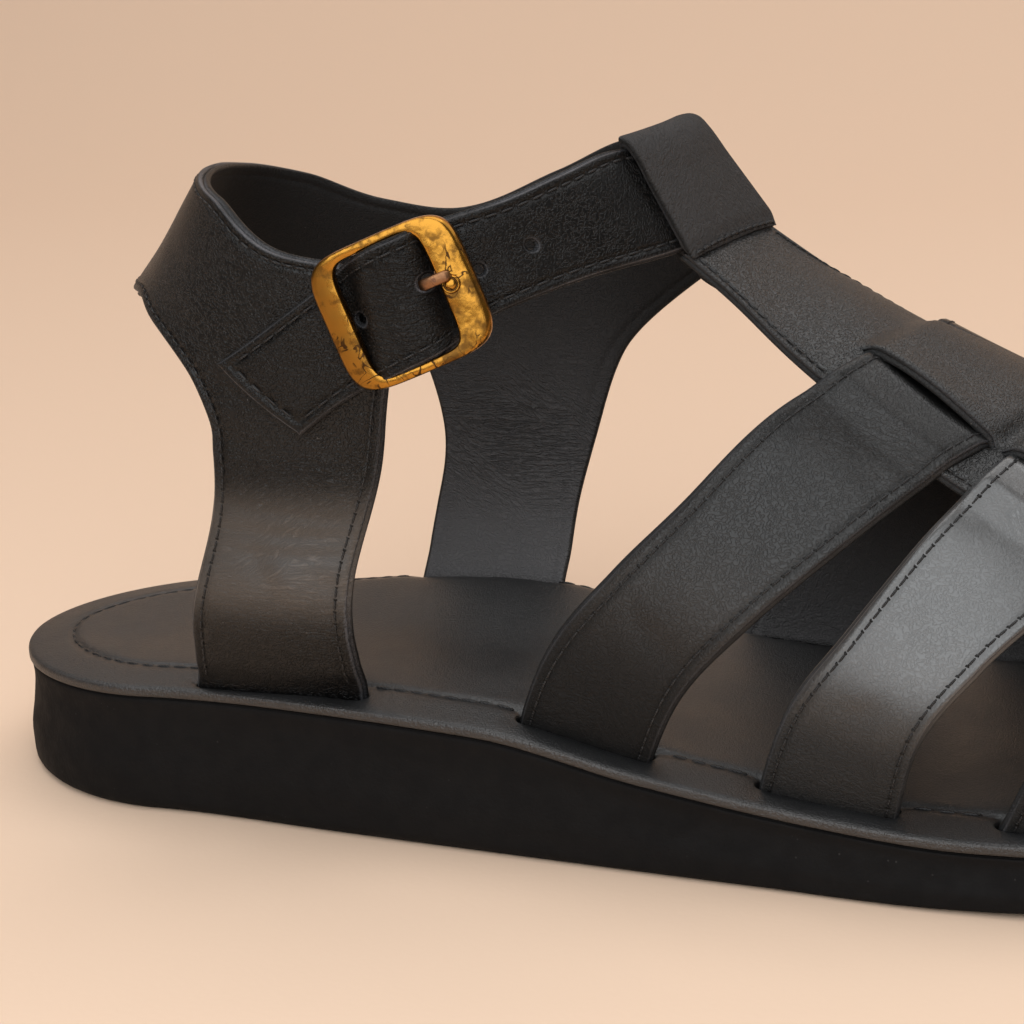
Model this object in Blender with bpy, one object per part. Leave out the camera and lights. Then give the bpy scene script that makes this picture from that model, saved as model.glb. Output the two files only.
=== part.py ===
"""Right fisherman sandal in black leather on a low wedge sole.

Millimetres until the meshes are made. Stations run from the sole's rearmost
point; the origin is on the ground under the middle of the heel's flat.
+X runs to the toe, +Y to the big toe's side (medial), +Z up.

The leather pieces are cut as flat patterns and laid on a last made of two
surfaces: the ankle (level rings, used by the quarter and the ankle strap) and
the instep (upright cross sections, used by the spine and the cross straps).
"""

import bpy
import bmesh
import numpy as np
from mathutils.geometry import delaunay_2d_cdt

MM = 0.001
GAP = 0.3  # air left between pieces that touch
ORIGIN_STATION = 36.9  # the origin is this far in front of the sole's rearmost point

# Colour, roughness and metallic value of each piece.
BLACK_LEATHER = ((0.012, 0.011, 0.011), 0.38, 0.0)
LOOKS = dict(
    outsole=((0.017, 0.016, 0.016), 0.8, 0.0),
    footbed=((0.013, 0.012, 0.012), 0.42, 0.0),
    quarter=BLACK_LEATHER,
    ankle_strap=BLACK_LEATHER,
    buckle_tab=BLACK_LEATHER,
    upper=BLACK_LEATHER,
    buckle_frame=((0.42, 0.27, 0.12), 0.36, 1.0),
    prong=((0.45, 0.26, 0.15), 0.33, 1.0),
)

# ---------------------------------------------------------------- sizes
SOLE_LENGTH = 262.0
HEEL_ROUND = 36.9  # how far the rounded heel end reaches
TOE_ROUND = 68.0  # how far the rounded toe end reaches
HEEL_SQUARENESS = 1.9
TOE_SQUARENESS = 2.1
FOOTBED_THICK = 2.3
FOOTBED_INSET = 0.9  # footbed edge inside the sole's ground outline
CROWN_RISE = 1.4  # footbed rises this much from its edge to the stitch line
CROWN_WIDTH = 9.6
ARCH_RISE, ARCH_STATION, ARCH_SPREAD = 4.9, 90.0, 35.0
CUP_DEPTH = 1.2
LEATHER = 2.4
STRAP_LEATHER = 2.0

# Sole: half widths each side of the heel-to-toe line, and heights, by station.
SOLE = dict(
    station=(0.0, 36.9, 75.0, 110.0, 150.0, 180.0, 205.0, 230.0, 262.0),
    lateral=(31.4, 31.4, 34.9, 38.1, 41.3, 43.6, 43.4, 41.5, 40.0),
    medial=(31.0, 31.0, 31.3, 33.0, 39.0, 44.0, 46.0, 46.0, 44.0),
)
HEIGHT = dict(
    station=(0.0, 60.0, 100.0, 130.0, 160.0, 185.0, 205.0, 230.0, 262.0),
    top=(23.0, 24.2, 23.0, 17.5, 13.6, 12.1, 12.6, 15.4, 21.0),
    tread=(0.0, 0.0, 0.0, 0.0, 0.0, 0.3, 1.6, 4.6, 10.0),
)
# Side of the sole, from the tread up: share of the height, and inset.
SIDE = dict(
    share=(0.0, 0.03, 0.10, 0.30, 0.60, 0.86, 1.0),
    inset=(1.9, 0.7, 0.0, 0.0, 0.9, 1.5, 1.3),
)

# Ankle of the last: level rings.
ANKLE = dict(
    height=(14, 20, 26, 32, 40, 50, 70, 90, 100, 113, 124),
    back=(9, 9, 9, 9, 9, 10, 16, 31.5, 40.0, 49, 57),
    front=(158, 158, 158, 158, 157, 155, 150, 142.5, 137.5, 130.5, 124.5),
    lateral=(29, 30, 31.5, 35, 37.5, 38.5, 38.5, 38, 37.5, 37, 36.5),
    medial=(19, 20, 21.5, 25.5, 28.5, 29.5, 30, 29.5, 28.5, 27, 26),
)
RING_SQUARENESS = 2.3
FRONT_SHIFT = 12.0  # the ring's front leans to the medial side
FRONT_SKEW = 0.25  # and reaches further forward there, except near the collar

# Instep of the last: upright sections, from slot to slot over the ridge.
INSTEP = dict(
    station=(95, 110, 131, 140, 155, 172, 190, 210, 232, 250),
    lateral=(28.5, 29.9, 31.5, 32.3, 33.5, 35.0, 35.8, 34.0, 30.0, 24.0),
    medial=(23.5, 24.0, 28.5, 31.0, 33.5, 36.0, 37.0, 37.0, 35.5, 31.0),
    slot=(23, 21, 16.8, 15.2, 13, 11.6, 11.2, 12.3, 15.5, 19.5),
    ridge_side=(10, 10.5, 11, 11, 10.5, 9.5, 8.5, 7.5, 6.5, 6.5),
    ridge=(130, 122, 107, 101.4, 90.9, 81.2, 72.3, 63.2, 53.8, 47),
)
SIDE_BULGE = 5.0  # straps swell outwards above their slots

# Quarter pattern, angle round the ankle (0 at the back, minus is lateral) and
# height. Each run is one edge of the leather.
QUARTER_COLLAR = dict(
    angle=(-86.8, -89.3, -95.3, -95.0, -87, -69, -44, -18, 20, 43, 65, 80, 103.5, 130, 160, 183),
    height=(19.5, 45, 74, 90, 100.8, 103.8, 111.6, 113.4, 111.2, 107.9, 101.7, 98.9, 104.5, 111.4, 114.6, 114.9),
)
QUARTER_MEDIAL_FRONT = dict(
    angle=(183, 168, 148, 126.3, 112.5, 107.2, 102.2, 101.5),
    height=(101.0, 99.8, 95.0, 85.2, 71.8, 56, 34, 19.5),
)
QUARTER_REAR = dict(
    angle=(80.5, 81.3, 84.1, 81.7, 70, 48, 15, -15, -31, -43, -60.5, -67.8, -69, -65.0, -60.0),
    height=(19.5, 33.6, 53.6, 66.7, 80, 87.8, 91.5, 91.5, 92.6, 90, 81.7, 72, 62, 39.5, 19.5),
)

# Ankle strap: upper and lower edge, from inside the loop to the cut tip.
STRAP_UPPER = dict(
    angle=(-174.5, -162, -147.6, -131.7, -118, -105.5, -93, -80.5, -65.4),
    height=(115.1, 115.1, 114.9, 112.5, 110.0, 108.1, 104.6, 98.1, 85.2),
)
STRAP_LOWER = dict(
    angle=(-83.0, -92.6, -101.5, -110.6, -132.7, -151.3, -174.5),
    height=(73.9, 83.2, 89.0, 92.5, 97.2, 98.6, 101.0),
)
# How far the strap stands off the last, along the strap from the buckle's bar.
STRAP_LIFT = dict(
    along=(-40, -10.0, -7.4, -4.8, -2.6, 0, 2.6, 4.8, 7.4, 10.0, 18, 30, 48, 70),
    lift=(2.6, 2.6, 2.9, 5.6, 8.0, 8.3, 8.0, 5.6, 2.9, 2.6, 2.0, 1.2, 0.2, 0.0),
)

# Buckle, centred on the strap. Along is towards the loop.
BUCKLE_ANGLE, BUCKLE_HEIGHT = -95.9, 96.0
BUCKLE_TURN = 21.0
MM_PER_DEGREE = 1.0
FRAME_HALF_ALONG, FRAME_HALF_ACROSS = 13.3, 12.6
WINDOW_HALF_ALONG, WINDOW_HALF_ACROSS = 9.1, 10.6
FRAME_LIFT, FRAME_THICK = 6.05, 2.4
BAR_LIFT, BAR_RADIUS = 4.4, 1.0
PRONG_HALF_THICK, PRONG_HALF_WIDE = 0.65, 1.0
PRONG = dict(
    along=(1.55, 0.2, -1.25, -1.95, -1.6, -0.3, 1.6, 3.6, 5.8, 7.6, 10.4),
    lift=(3.2, 2.46, 2.9, 4.4, 5.6, 6.33, 6.45, 6.9, 7.75, 8.15, 8.2),
)
TAB_HALF_WIDE, TAB_THICK = 8.4, 0.9
TAB = dict(
    along=(-6.6, -3.6, -1.2, 0.6, 1.55, 1.55, 0.6, -0.6, -1.4),
    lift=(1.95, 1.95, 2.2, 2.75, 3.6, 5.1, 6.0, 6.05, 5.7),
)
TAB_SLOT_HALF_WIDE = 2.0

# Spine pattern on the instep: girth runs -1 at the lateral slot, 0 on the
# ridge, 1 at the medial slot.
SPINE = dict(
    station=(133.0, 142.2, 149, 155.1, 165, 183, 205, 249.5),
    near=(-0.275, -0.305, -0.33, -0.35, -0.385, -0.44, -0.47, -0.49),
    far=(0.02, 0.06, 0.075, 0.085, 0.12, 0.19, 0.24, 0.27),
    slit_near=(-0.20, -0.20, -0.21, -0.22, -0.25, -0.315, -0.35, -0.37),
    slit_far=(-0.05, -0.05, -0.05, -0.05, -0.04, 0.02, 0.07, 0.11),
)
SPINE_END = 4.5  # how far the spine runs past the front strap
GIRTH_MM = 78.0  # pattern length of one unit of girth
WEAVE = 1.8  # how far the raised leather stands over the leather beneath

# Loop: the spine folded over the ankle strap and stitched down at the seam.
LOOP_NEAR = dict(height=(94, 96.3, 106.6, 116.5, 122), angle=(-150.7, -150.5, -149.5, -148.6, -148.0))
LOOP_TUCK = 3.5  # degrees by which the layer behind the strap is narrower
LOOP_FAR = dict(height=(94, 99.2, 107.7, 115.7, 122), angle=(-181.6, -179.9, -177.1, -175.2, -173.7))
LOOP_LEATHER, LOOP_LIFT = 1.8, 2.45
LOOP_SLANT = 0.5  # the fold's top rises this much from its near to its far end
SEAM_NEAR, SEAM_FAR = (135.6, -0.28), (143.2, 0.06)  # station and girth of the seam's ends

# Cross straps: rear and front edge, station by girth.
CROSS_STRAPS = {
    "rear": dict(
        girth=(-1.04, -0.9, -0.77, -0.62, -0.44, -0.27, -0.1, 0.08, 0.25, 0.5, 0.75, 1.04),
        back=(104.5, 112.8, 124.7, 138.1, 150.3, 161.0, 169.0, 171.7, 169.5, 160.0, 146.0, 131.5),
        front=(128.2, 136.0, 147.6, 161.1, 174.6, 185.5, 191.5, 193.6, 192.0, 185.0, 172.5, 158.0),
    ),
    "middle": dict(
        girth=(-1.04, -0.87, -0.72, -0.57, -0.27, -0.1, 0.08, 0.25, 0.5, 0.75, 1.04),
        back=(147.0, 153.2, 163.1, 172.3, 188.2, 195.0, 198.5, 198.5, 193.5, 186.0, 177.5),
        front=(170.6, 174.9, 184.5, 195.5, 211.5, 217.0, 219.8, 219.5, 214.0, 206.0, 198.0),
    ),
    "front": dict(
        girth=(-1.04, -0.89, -0.7, -0.5, -0.3, -0.1, 0.1, 0.3, 0.5, 0.75, 1.04),
        back=(185.8, 191.5, 200.5, 210.0, 218.0, 223.5, 225.5, 225.0, 222.5, 217.5, 210.5),
        front=(208.0, 212.0, 221.0, 230.5, 238.0, 243.0, 245.0, 244.5, 241.5, 236.0, 229.0),
    ),
}


# ---------------------------------------------------------------- functions
def smooth(table, key, value, at):
    """Shape-keeping cubic through the rows of a table."""
    xs, ys = np.array(table[key], float), np.array(table[value], float)
    if xs[0] > xs[-1]:
        xs, ys = xs[::-1], ys[::-1]
    at = np.clip(at, xs[0], xs[-1])
    step = np.diff(xs)
    slope = np.diff(ys) / step
    tangent = np.zeros_like(xs)
    tangent[0], tangent[-1] = slope[0], slope[-1]
    w1, w2 = 2 * step[1:] + step[:-1], step[1:] + 2 * step[:-1]
    same = slope[1:] * slope[:-1] > 0
    a, b = np.where(same, slope[:-1], 1), np.where(same, slope[1:], 1)
    tangent[1:-1] = np.where(same, (w1 + w2) / (w1 / a + w2 / b), 0)
    i = np.clip(np.searchsorted(xs, at) - 1, 0, len(xs) - 2)
    t, h = (at - xs[i]) / step[i], step[i]
    return (
        ys[i] * (1 + 2 * t) * (1 - t) ** 2
        + tangent[i] * h * t * (1 - t) ** 2
        + ys[i + 1] * t * t * (3 - 2 * t)
        + tangent[i + 1] * h * t * t * (t - 1)
    )


def ramp(x, start, end):
    t = np.clip((x - start) / (end - start), 0, 1)
    return t * t * (3 - 2 * t)


def ankle(angle, height):
    turn = np.radians(angle)
    back, front, lateral, medial = (
        smooth(ANKLE, "height", side, height) for side in ("back", "front", "lateral", "medial")
    )
    half, middle = (front - back) / 2, (front + back) / 2
    wrapped = np.mod(turn + np.pi, 2 * np.pi) - np.pi
    wide = np.where(wrapped < 0, lateral, medial)
    c, s = np.cos(turn), np.sin(turn)
    n = RING_SQUARENESS
    r = (np.abs(c) ** n + np.abs(s) ** n) ** (-1 / n)
    forward = (1 - c * r) / 2
    y = wide * r * s + FRONT_SHIFT * forward**2
    kept = 1 - ramp(height, 88, 104)
    x = middle - half * r * c + FRONT_SKEW * forward**3 * np.where(y > 12, 12 + (y - 12) * kept, y)
    return np.stack(np.broadcast_arrays(x, y, height), -1)


def instep(station, girth):
    lateral, medial, slot, side, ridge = (
        smooth(INSTEP, "station", key, station)
        for key in ("lateral", "medial", "slot", "ridge_side", "ridge")
    )
    end = np.where(girth < 0, -lateral, medial)
    turn = np.clip(np.abs(girth), 0, 1) * np.pi / 2
    up = np.cos(turn)
    beyond = np.clip(np.abs(girth) - 1, 0, 1) * 2 * GIRTH_MM
    y = side + (end - side) * np.sin(turn)
    y = y + np.sign(girth) * SIDE_BULGE * np.clip(np.sin(np.pi * up**0.6), 0, 1)
    z = slot + (ridge - slot) * up - beyond
    return np.stack(np.broadcast_arrays(station, y, z), -1)


def lifted(surface, a, b, lift, step_a, step_b, sign):
    """Points of a surface moved out along its normal."""
    a, b, lift = np.broadcast_arrays(np.asarray(a, float), np.asarray(b, float), np.asarray(lift, float))
    normal = np.cross(
        surface(a + step_a, b) - surface(a - step_a, b),
        surface(a, b + step_b) - surface(a, b - step_b),
    )
    normal /= np.linalg.norm(normal, axis=-1, keepdims=True) + 1e-12
    return surface(a, b) + sign * normal * lift[..., None]


def on_ankle(angle, height, lift=0.0):
    return lifted(ankle, angle, height, lift, 0.3, 0.2, -1)


def on_instep(station, girth, lift=0.0):
    return lifted(instep, station, girth, lift, 0.3, 0.004, 1)


def by_buckle(along, across, lift):
    """A point beside the buckle: along and across the strap, above the last."""
    turn = np.radians(BUCKLE_TURN)
    forward = along * np.cos(turn) - across * np.sin(turn)
    up = along * np.sin(turn) + across * np.cos(turn)
    return on_ankle(BUCKLE_ANGLE - forward / MM_PER_DEGREE, BUCKLE_HEIGHT + up, lift)


def along_strap(angle, height):
    turn = np.radians(BUCKLE_TURN)
    forward = (BUCKLE_ANGLE - angle) * MM_PER_DEGREE
    return forward * np.cos(turn) + (height - BUCKLE_HEIGHT) * np.sin(turn)


def half_width(station, side):
    cap = np.clip((HEEL_ROUND - station) / HEEL_ROUND, 0, 1)
    toe = np.clip((station - SOLE_LENGTH + TOE_ROUND) / TOE_ROUND, 0, 1)
    return (
        smooth(SOLE, "station", side, station)
        * (1 - cap**HEEL_SQUARENESS) ** (1 / HEEL_SQUARENESS)
        * (1 - toe**TOE_SQUARENESS) ** (1 / TOE_SQUARENESS)
    )


TOE_SIDE = 6.0  # the tip of the toe sits this far to the medial side


def outline(inset, count):
    """Closed outline of the sole, moved in by inset, heel first, lateral side first."""
    turn = np.linspace(0, np.pi, count // 2 + 1)
    share = 0.5 - 0.5 * np.cos(turn)
    station = SOLE_LENGTH * share
    drift = TOE_SIDE * ramp(station, SOLE_LENGTH - TOE_ROUND, SOLE_LENGTH)
    lateral = np.stack([station, drift - half_width(station, "lateral")], 1)
    medial = np.stack([station, drift + half_width(station, "medial")], 1)
    ring = np.concatenate([lateral, medial[-2:0:-1]])
    along = np.roll(ring, -1, 0) - np.roll(ring, 1, 0)
    along /= np.linalg.norm(along, axis=1, keepdims=True)
    return ring + np.stack([-along[:, 1], along[:, 0]], 1) * inset


def footbed_rise(station, side, away):
    """Footbed surface over its edge: crowned rim, raised medial arch, shallow heel cup."""
    rise = CROWN_RISE * np.clip(away / CROWN_WIDTH, 0, 1) ** 0.8
    arch = ARCH_RISE * np.exp(-(((station - ARCH_STATION) / ARCH_SPREAD) ** 2))
    arch = arch * ramp(side, -6, 24) * ramp(away, 0, CROWN_WIDTH)
    cup = CUP_DEPTH * np.exp(-(((station - 36) / 26) ** 2) - (side / 20) ** 2)
    return rise + arch - cup


def grown(ring, scale, by):
    """A pattern outline moved outwards."""
    flat = ring * scale
    along = np.roll(flat, -1, 0) - np.roll(flat, 1, 0)
    along /= np.linalg.norm(along, axis=1, keepdims=True) + 1e-9
    out = np.stack([along[:, 1], -along[:, 0]], 1)
    area = np.sum(flat[:, 0] * np.roll(flat[:, 1], -1) - np.roll(flat[:, 0], -1) * flat[:, 1])
    return (flat + np.sign(area) * out * by) / scale


def mesh_object(name, points, faces, hidden=False):
    mesh = bpy.data.meshes.new(name)
    placed = (np.asarray(points) - (ORIGIN_STATION, 0, 0)) * MM
    mesh.from_pydata([tuple(p) for p in placed], [], [tuple(map(int, f)) for f in faces])
    mesh.update()
    obj = bpy.data.objects.new(name, mesh)
    work = bmesh.new()
    work.from_mesh(mesh)
    bmesh.ops.recalc_face_normals(work, faces=work.faces)
    work.to_mesh(mesh)
    work.free()
    if hidden:
        CUTTERS.objects.link(obj)
        obj.hide_render, obj.display_type = True, "WIRE"
        return obj
    SANDAL.objects.link(obj)
    mesh.shade_smooth()
    mesh.set_sharp_from_angle(angle=np.radians(38))
    look = bpy.data.materials.new(name)
    look.use_nodes = True
    surface = look.node_tree.nodes["Principled BSDF"]
    colour, roughness, metallic = LOOKS[name]
    surface.inputs["Base Color"].default_value = (*colour, 1)
    surface.inputs["Roughness"].default_value = roughness
    surface.inputs["Metallic"].default_value = metallic
    mesh.materials.append(look)
    return obj


def boolean(target, cutter, operation, folded=False):
    modifier = target.modifiers.new(cutter.name, "BOOLEAN")
    modifier.use_self = folded
    modifier.operation, modifier.object, modifier.solver = operation, cutter, "EXACT"


def run(table, columns, spacing, scale):
    """Points along one pattern edge, smooth through its rows, evenly spaced."""
    rows = np.stack([np.array(table[c], float) for c in columns], 1)
    far = np.concatenate([[0], np.cumsum(np.linalg.norm(np.diff(rows * scale, axis=0), axis=1))])
    fine = np.linspace(0, far[-1], 400)
    knots = {"s": tuple(far), "a": tuple(rows[:, 0]), "b": tuple(rows[:, 1])}
    line = np.stack([smooth(knots, "s", "a", fine), smooth(knots, "s", "b", fine)], 1)
    count = max(2, int(round(far[-1] / spacing)) + 1)
    at = np.linspace(0, far[-1], count)
    return np.stack([np.interp(at, fine, line[:, k]) for k in (0, 1)], 1)


def joined(runs):
    """One closed ring from edge runs laid end to end."""
    ring = np.concatenate(runs)
    keep = np.linalg.norm(ring - np.roll(ring, 1, 0), axis=1) > 1e-6
    return ring[keep]


def leather(name, ring, scale, spacing, place, thick, hidden=False, folds=None):
    """A piece of leather: pattern outline filled with triangles, laid on the last.

    Folds are rows of pattern points that the triangles keep to.
    """
    flat = ring * scale
    low, high = flat.min(0), flat.max(0)
    u = np.arange(low[0], high[0], spacing)
    v = np.arange(low[1], high[1], spacing * 0.87)
    grid = np.array([(x + (j % 2) * spacing / 2, y) for j, y in enumerate(v) for x in u])
    a, b = flat, np.roll(flat, -1, 0)
    seg = b - a
    t = np.clip(((grid[:, None] - a) * seg).sum(2) / (seg**2).sum(1), 0, 1)
    away = np.linalg.norm(grid[:, None] - (a + t[..., None] * seg), axis=2).min(1)
    crosses = (a[:, 1] > grid[:, None, 1]) != (b[:, 1] > grid[:, None, 1])
    with np.errstate(divide="ignore", invalid="ignore"):
        cut = a[:, 0] + (grid[:, None, 1] - a[:, 1]) * seg[:, 0] / seg[:, 1]
    inside = (crosses & (grid[:, None, 0] < cut)).sum(1) % 2 == 1
    inner = grid[inside & (away > spacing * 0.55)]
    if folds is not None:
        kept = folds * scale
        gap = np.linalg.norm(inner[:, None] - kept, axis=2).min(1)
        inner = np.concatenate([inner[gap > spacing * 0.5], kept])
    n = len(flat)
    edges = [(i, (i + 1) % n) for i in range(n)]
    points, _, faces, _, _, _ = delaunay_2d_cdt(
        [tuple(p) for p in np.concatenate([flat, inner])], edges, [], 1, 1e-5
    )
    points = np.array(points) / scale
    outer, under = place(points, thick / 2), place(points, -thick / 2)
    count = len(points)
    body = [tuple(f) for f in faces] + [tuple(i + count for i in reversed(f)) for f in faces]
    body += [(j, i, i + count, j + count) for i, j in edges]
    return mesh_object(name, np.concatenate([outer, under]), body, hidden)


def tube(name, rings, hidden=False):
    """Closed body from a row of section rings with flat ends."""
    rings = np.asarray(rings)
    rows, around = rings.shape[:2]
    faces = [
        (i * around + j, i * around + (j + 1) % around, (i + 1) * around + (j + 1) % around, (i + 1) * around + j)
        for i in range(rows - 1)
        for j in range(around)
    ]
    faces += [tuple(range(around))[::-1], tuple((rows - 1) * around + j for j in range(around))]
    return mesh_object(name, rings.reshape(-1, 3), faces, hidden)


for old in list(bpy.data.objects):
    bpy.data.objects.remove(old)
SANDAL, CUTTERS = bpy.data.collections.new("fisherman_sandal"), bpy.data.collections.new("cutters")
for group in (SANDAL, CUTTERS):
    bpy.context.scene.collection.children.link(group)

# ---------------------------------------------------------------- sole
AROUND = 64
SPINE_LINE = (34.0, 222.0)  # the middle line that the sole's rings close onto


def rings_of(levels, ring_share, height):
    """Level rings of the sole: insets first, then rings that close to the middle."""
    out = []
    for inset, z in levels:
        flat = outline(inset, AROUND)
        out.append(np.column_stack([flat, z(flat)]))
    base = out[-1]
    core = np.stack([np.clip(base[:, 0], *SPINE_LINE), np.zeros(len(base))], 1)
    core[:, 1] = TOE_SIDE * 0.5 * ramp(core[:, 0], 150, 222)
    for share in ring_share:
        flat = base[:, :2] * (1 - share) + core * share
        out.append(np.column_stack([flat, height(flat, base, share)]))
    return out


def top_of_sole(flat):
    return smooth(HEIGHT, "station", "top", flat[:, 0])


def tread(flat):
    return smooth(HEIGHT, "station", "tread", flat[:, 0])


def crown(flat, edge, share):
    return footbed_rise(flat[:, 0], flat[:, 1], np.linalg.norm(flat - edge[:, :2], axis=1))


def closed_rings(name, rings, hidden=False):
    """Body from rings, its first and last ring each closed across the middle."""
    around = len(rings[0])
    points = np.concatenate(rings)
    faces = [
        (i * around + j, i * around + (j + 1) % around, (i + 1) * around + (j + 1) % around, (i + 1) * around + j)
        for i in range(len(rings) - 1)
        for j in range(around)
    ]
    for first in (0, (len(rings) - 1) * around):
        half = around // 2
        for j in range(half):
            quad = [first + j, first + j + 1, first + (around - j - 1) % around, first + (around - j) % around]
            quad = list(dict.fromkeys(quad))
            if len(quad) > 2:
                faces.append(tuple(quad))
    return mesh_object(name, points, faces, hidden)


SHARES = (0.16, 0.4, 0.92)
side = [
    (inset, lambda f, s=share: tread(f) + (top_of_sole(f) - FOOTBED_THICK - tread(f)) * s)
    for share, inset in zip(SIDE["share"], SIDE["inset"])
]
bottom = rings_of([side[0]], SHARES, lambda f, e, s: tread(f))[1:]
top = rings_of(
    side, SHARES, lambda f, e, s: top_of_sole(f) - FOOTBED_THICK + crown(f, e, s)
)
closed_rings("outsole", bottom[::-1] + top)

# What lies under the footbed's slots, as a cutter for the leather that enters them.
low_side = [
    (-12.0, lambda f: 0 * f[:, 0] - 30.0),
    (-12.0, lambda f: top_of_sole(f) - FOOTBED_THICK + 0.35),
    (SIDE["inset"][-1], lambda f: top_of_sole(f) - FOOTBED_THICK + 0.35),
]
low_floor = rings_of([low_side[0]], SHARES, lambda f, e, s: 0 * f[:, 0] - 30.0)[1:]
low_top = rings_of(low_side, SHARES, lambda f, e, s: top_of_sole(f) - FOOTBED_THICK + 0.35 + crown(f, e, s))
slot_floor = closed_rings("slot_floor", low_floor[::-1] + low_top, hidden=True)

# ---------------------------------------------------------------- footbed
bed_edge = [
    (FOOTBED_INSET + 0.5, lambda f: top_of_sole(f) - FOOTBED_THICK + 0.4),
    (FOOTBED_INSET, lambda f: top_of_sole(f) - FOOTBED_THICK + 0.9),
    (FOOTBED_INSET, lambda f: top_of_sole(f) - 0.6),
    (FOOTBED_INSET + 0.5, lambda f: top_of_sole(f)),
]
under = rings_of([bed_edge[0]], SHARES, lambda f, e, s: top_of_sole(f) - FOOTBED_THICK + 0.45 + crown(f, e, s))[1:]
over = rings_of(bed_edge, SHARES, lambda f, e, s: top_of_sole(f) + crown(f, e, s))
footbed = closed_rings("footbed", under[::-1] + over)

# ---------------------------------------------------------------- quarter
ANKLE_SCALE = np.array([0.75, 1.0])
AH = ("angle", "height")


def quarter_ring(spacing):
    collar = run(QUARTER_COLLAR, AH, spacing, ANKLE_SCALE)
    front = run(QUARTER_MEDIAL_FRONT, AH, spacing, ANKLE_SCALE)
    rear = run(QUARTER_REAR, AH, spacing, ANKLE_SCALE)
    corners = [
        run(dict(angle=(a[0], b[0]), height=(a[1], b[1])), AH, spacing, ANKLE_SCALE)
        for a, b in ((collar[-1], front[0]), (front[-1], rear[0]), (rear[-1], collar[0]))
    ]
    return joined([collar, corners[0], front, corners[1], rear, corners[2]])


def on_last(points, lift):
    return on_ankle(points[:, 0], points[:, 1], lift)


quarter = leather("quarter", quarter_ring(4.6), ANKLE_SCALE, 6.0, on_last, LEATHER)
boolean(quarter, slot_floor, "DIFFERENCE")
slots = [
    leather("quarter_slot_faces", quarter_ring(4.6), ANKLE_SCALE, 6.0, on_last, LEATHER + 2 * GAP, True),
    leather("quarter_slot_ends", grown(quarter_ring(4.6), ANKLE_SCALE, 0.5), ANKLE_SCALE, 6.0, on_last, LEATHER + 2 * GAP, True),
]

# ---------------------------------------------------------------- ankle strap
def strap_place(points, lift):
    base = smooth(STRAP_LIFT, "along", "lift", along_strap(points[:, 0], points[:, 1]))
    return on_ankle(points[:, 0], points[:, 1], base + lift)


upper_edge = run(STRAP_UPPER, AH, 2.8, ANKLE_SCALE)
lower_edge = run(STRAP_LOWER, AH, 2.8, ANKLE_SCALE)
ends = [
    run(dict(angle=(a[0], b[0]), height=(a[1], b[1])), AH, 3.0, ANKLE_SCALE)
    for a, b in ((upper_edge[-1], lower_edge[0]), (lower_edge[-1], upper_edge[0]))
]
strap = leather(
    "ankle_strap", joined([upper_edge, ends[0], lower_edge, ends[1]]), ANKLE_SCALE, 3.2, strap_place, STRAP_LEATHER
)

# ---------------------------------------------------------------- buckle
turn = np.linspace(0, 2 * np.pi, 40, endpoint=False)


def barrel(half_along, half_across, squareness):
    c, s = np.cos(turn), np.sin(turn)
    r = ((np.abs(c) / half_along) ** squareness + (np.abs(s) / half_across) ** squareness) ** (-1 / squareness)
    return np.stack([r * c, r * s], 1)


outer, inner = barrel(FRAME_HALF_ALONG, FRAME_HALF_ACROSS, 3.6), barrel(WINDOW_HALF_ALONG, WINDOW_HALF_ACROSS, 6.0)
section = np.linspace(0, 2 * np.pi, 8, endpoint=False) + np.pi / 8
round_c = np.sign(np.cos(section)) * np.abs(np.cos(section)) ** 0.7
round_s = np.sign(np.sin(section)) * np.abs(np.sin(section)) ** 0.7
points, faces = [], []
for o, i in zip(outer, inner):
    middle, reach = (o + i) / 2, (o - i) / 2
    flat = middle + reach * round_c[:, None]
    points.append(by_buckle(flat[:, 0], flat[:, 1], FRAME_LIFT + FRAME_THICK / 2 * round_s))
n, m = len(points), len(section)
faces = [
    (i * m + j, i * m + (j + 1) % m, ((i + 1) % n) * m + (j + 1) % m, ((i + 1) % n) * m + j)
    for i in range(n)
    for j in range(m)
]
frame = mesh_object("buckle_frame", np.concatenate(points), faces)
circle = np.linspace(0, 2 * np.pi, 8, endpoint=False)
bar = tube(
    "buckle_bar",
    [
        by_buckle(BAR_RADIUS * np.cos(circle), np.full(8, across), BAR_LIFT + BAR_RADIUS * np.sin(circle))
        for across in np.linspace(-11.4, 11.4, 5)
    ],
    True,
)
boolean(frame, bar, "UNION")


def swept(table, half_thick, half_wide, name, sides=8, steps=20, hidden=False, square=False):
    """A rod or strip whose middle line runs along the strap at given lifts."""
    at = np.stack([np.array(table["along"], float), np.array(table["lift"], float)], 1)
    far = np.concatenate([[0], np.cumsum(np.linalg.norm(np.diff(at, axis=0), axis=1))])
    knots = {"s": tuple(far), "a": tuple(at[:, 0]), "b": tuple(at[:, 1])}
    s = np.linspace(0, far[-1], steps)
    line = np.stack([smooth(knots, "s", "a", s), smooth(knots, "s", "b", s)], 1)
    along = np.gradient(line, axis=0)
    along /= np.linalg.norm(along, axis=1, keepdims=True)
    across = np.stack([-along[:, 1], along[:, 0]], 1)
    if square:
        wide = np.concatenate([np.linspace(-1, 1, 5), np.linspace(1, -1, 5)]) * half_wide
        thick = np.repeat([1.0, -1.0], 5) * half_thick
    else:
        spin = np.linspace(0, 2 * np.pi, sides, endpoint=False)
        wide, thick = half_wide * np.cos(spin), half_thick * np.sin(spin)
    rings = []
    for p, q in zip(line, across):
        rings.append(by_buckle(p[0] + q[0] * thick, wide, p[1] + q[1] * thick))
    return tube(name, rings, hidden)


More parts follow.
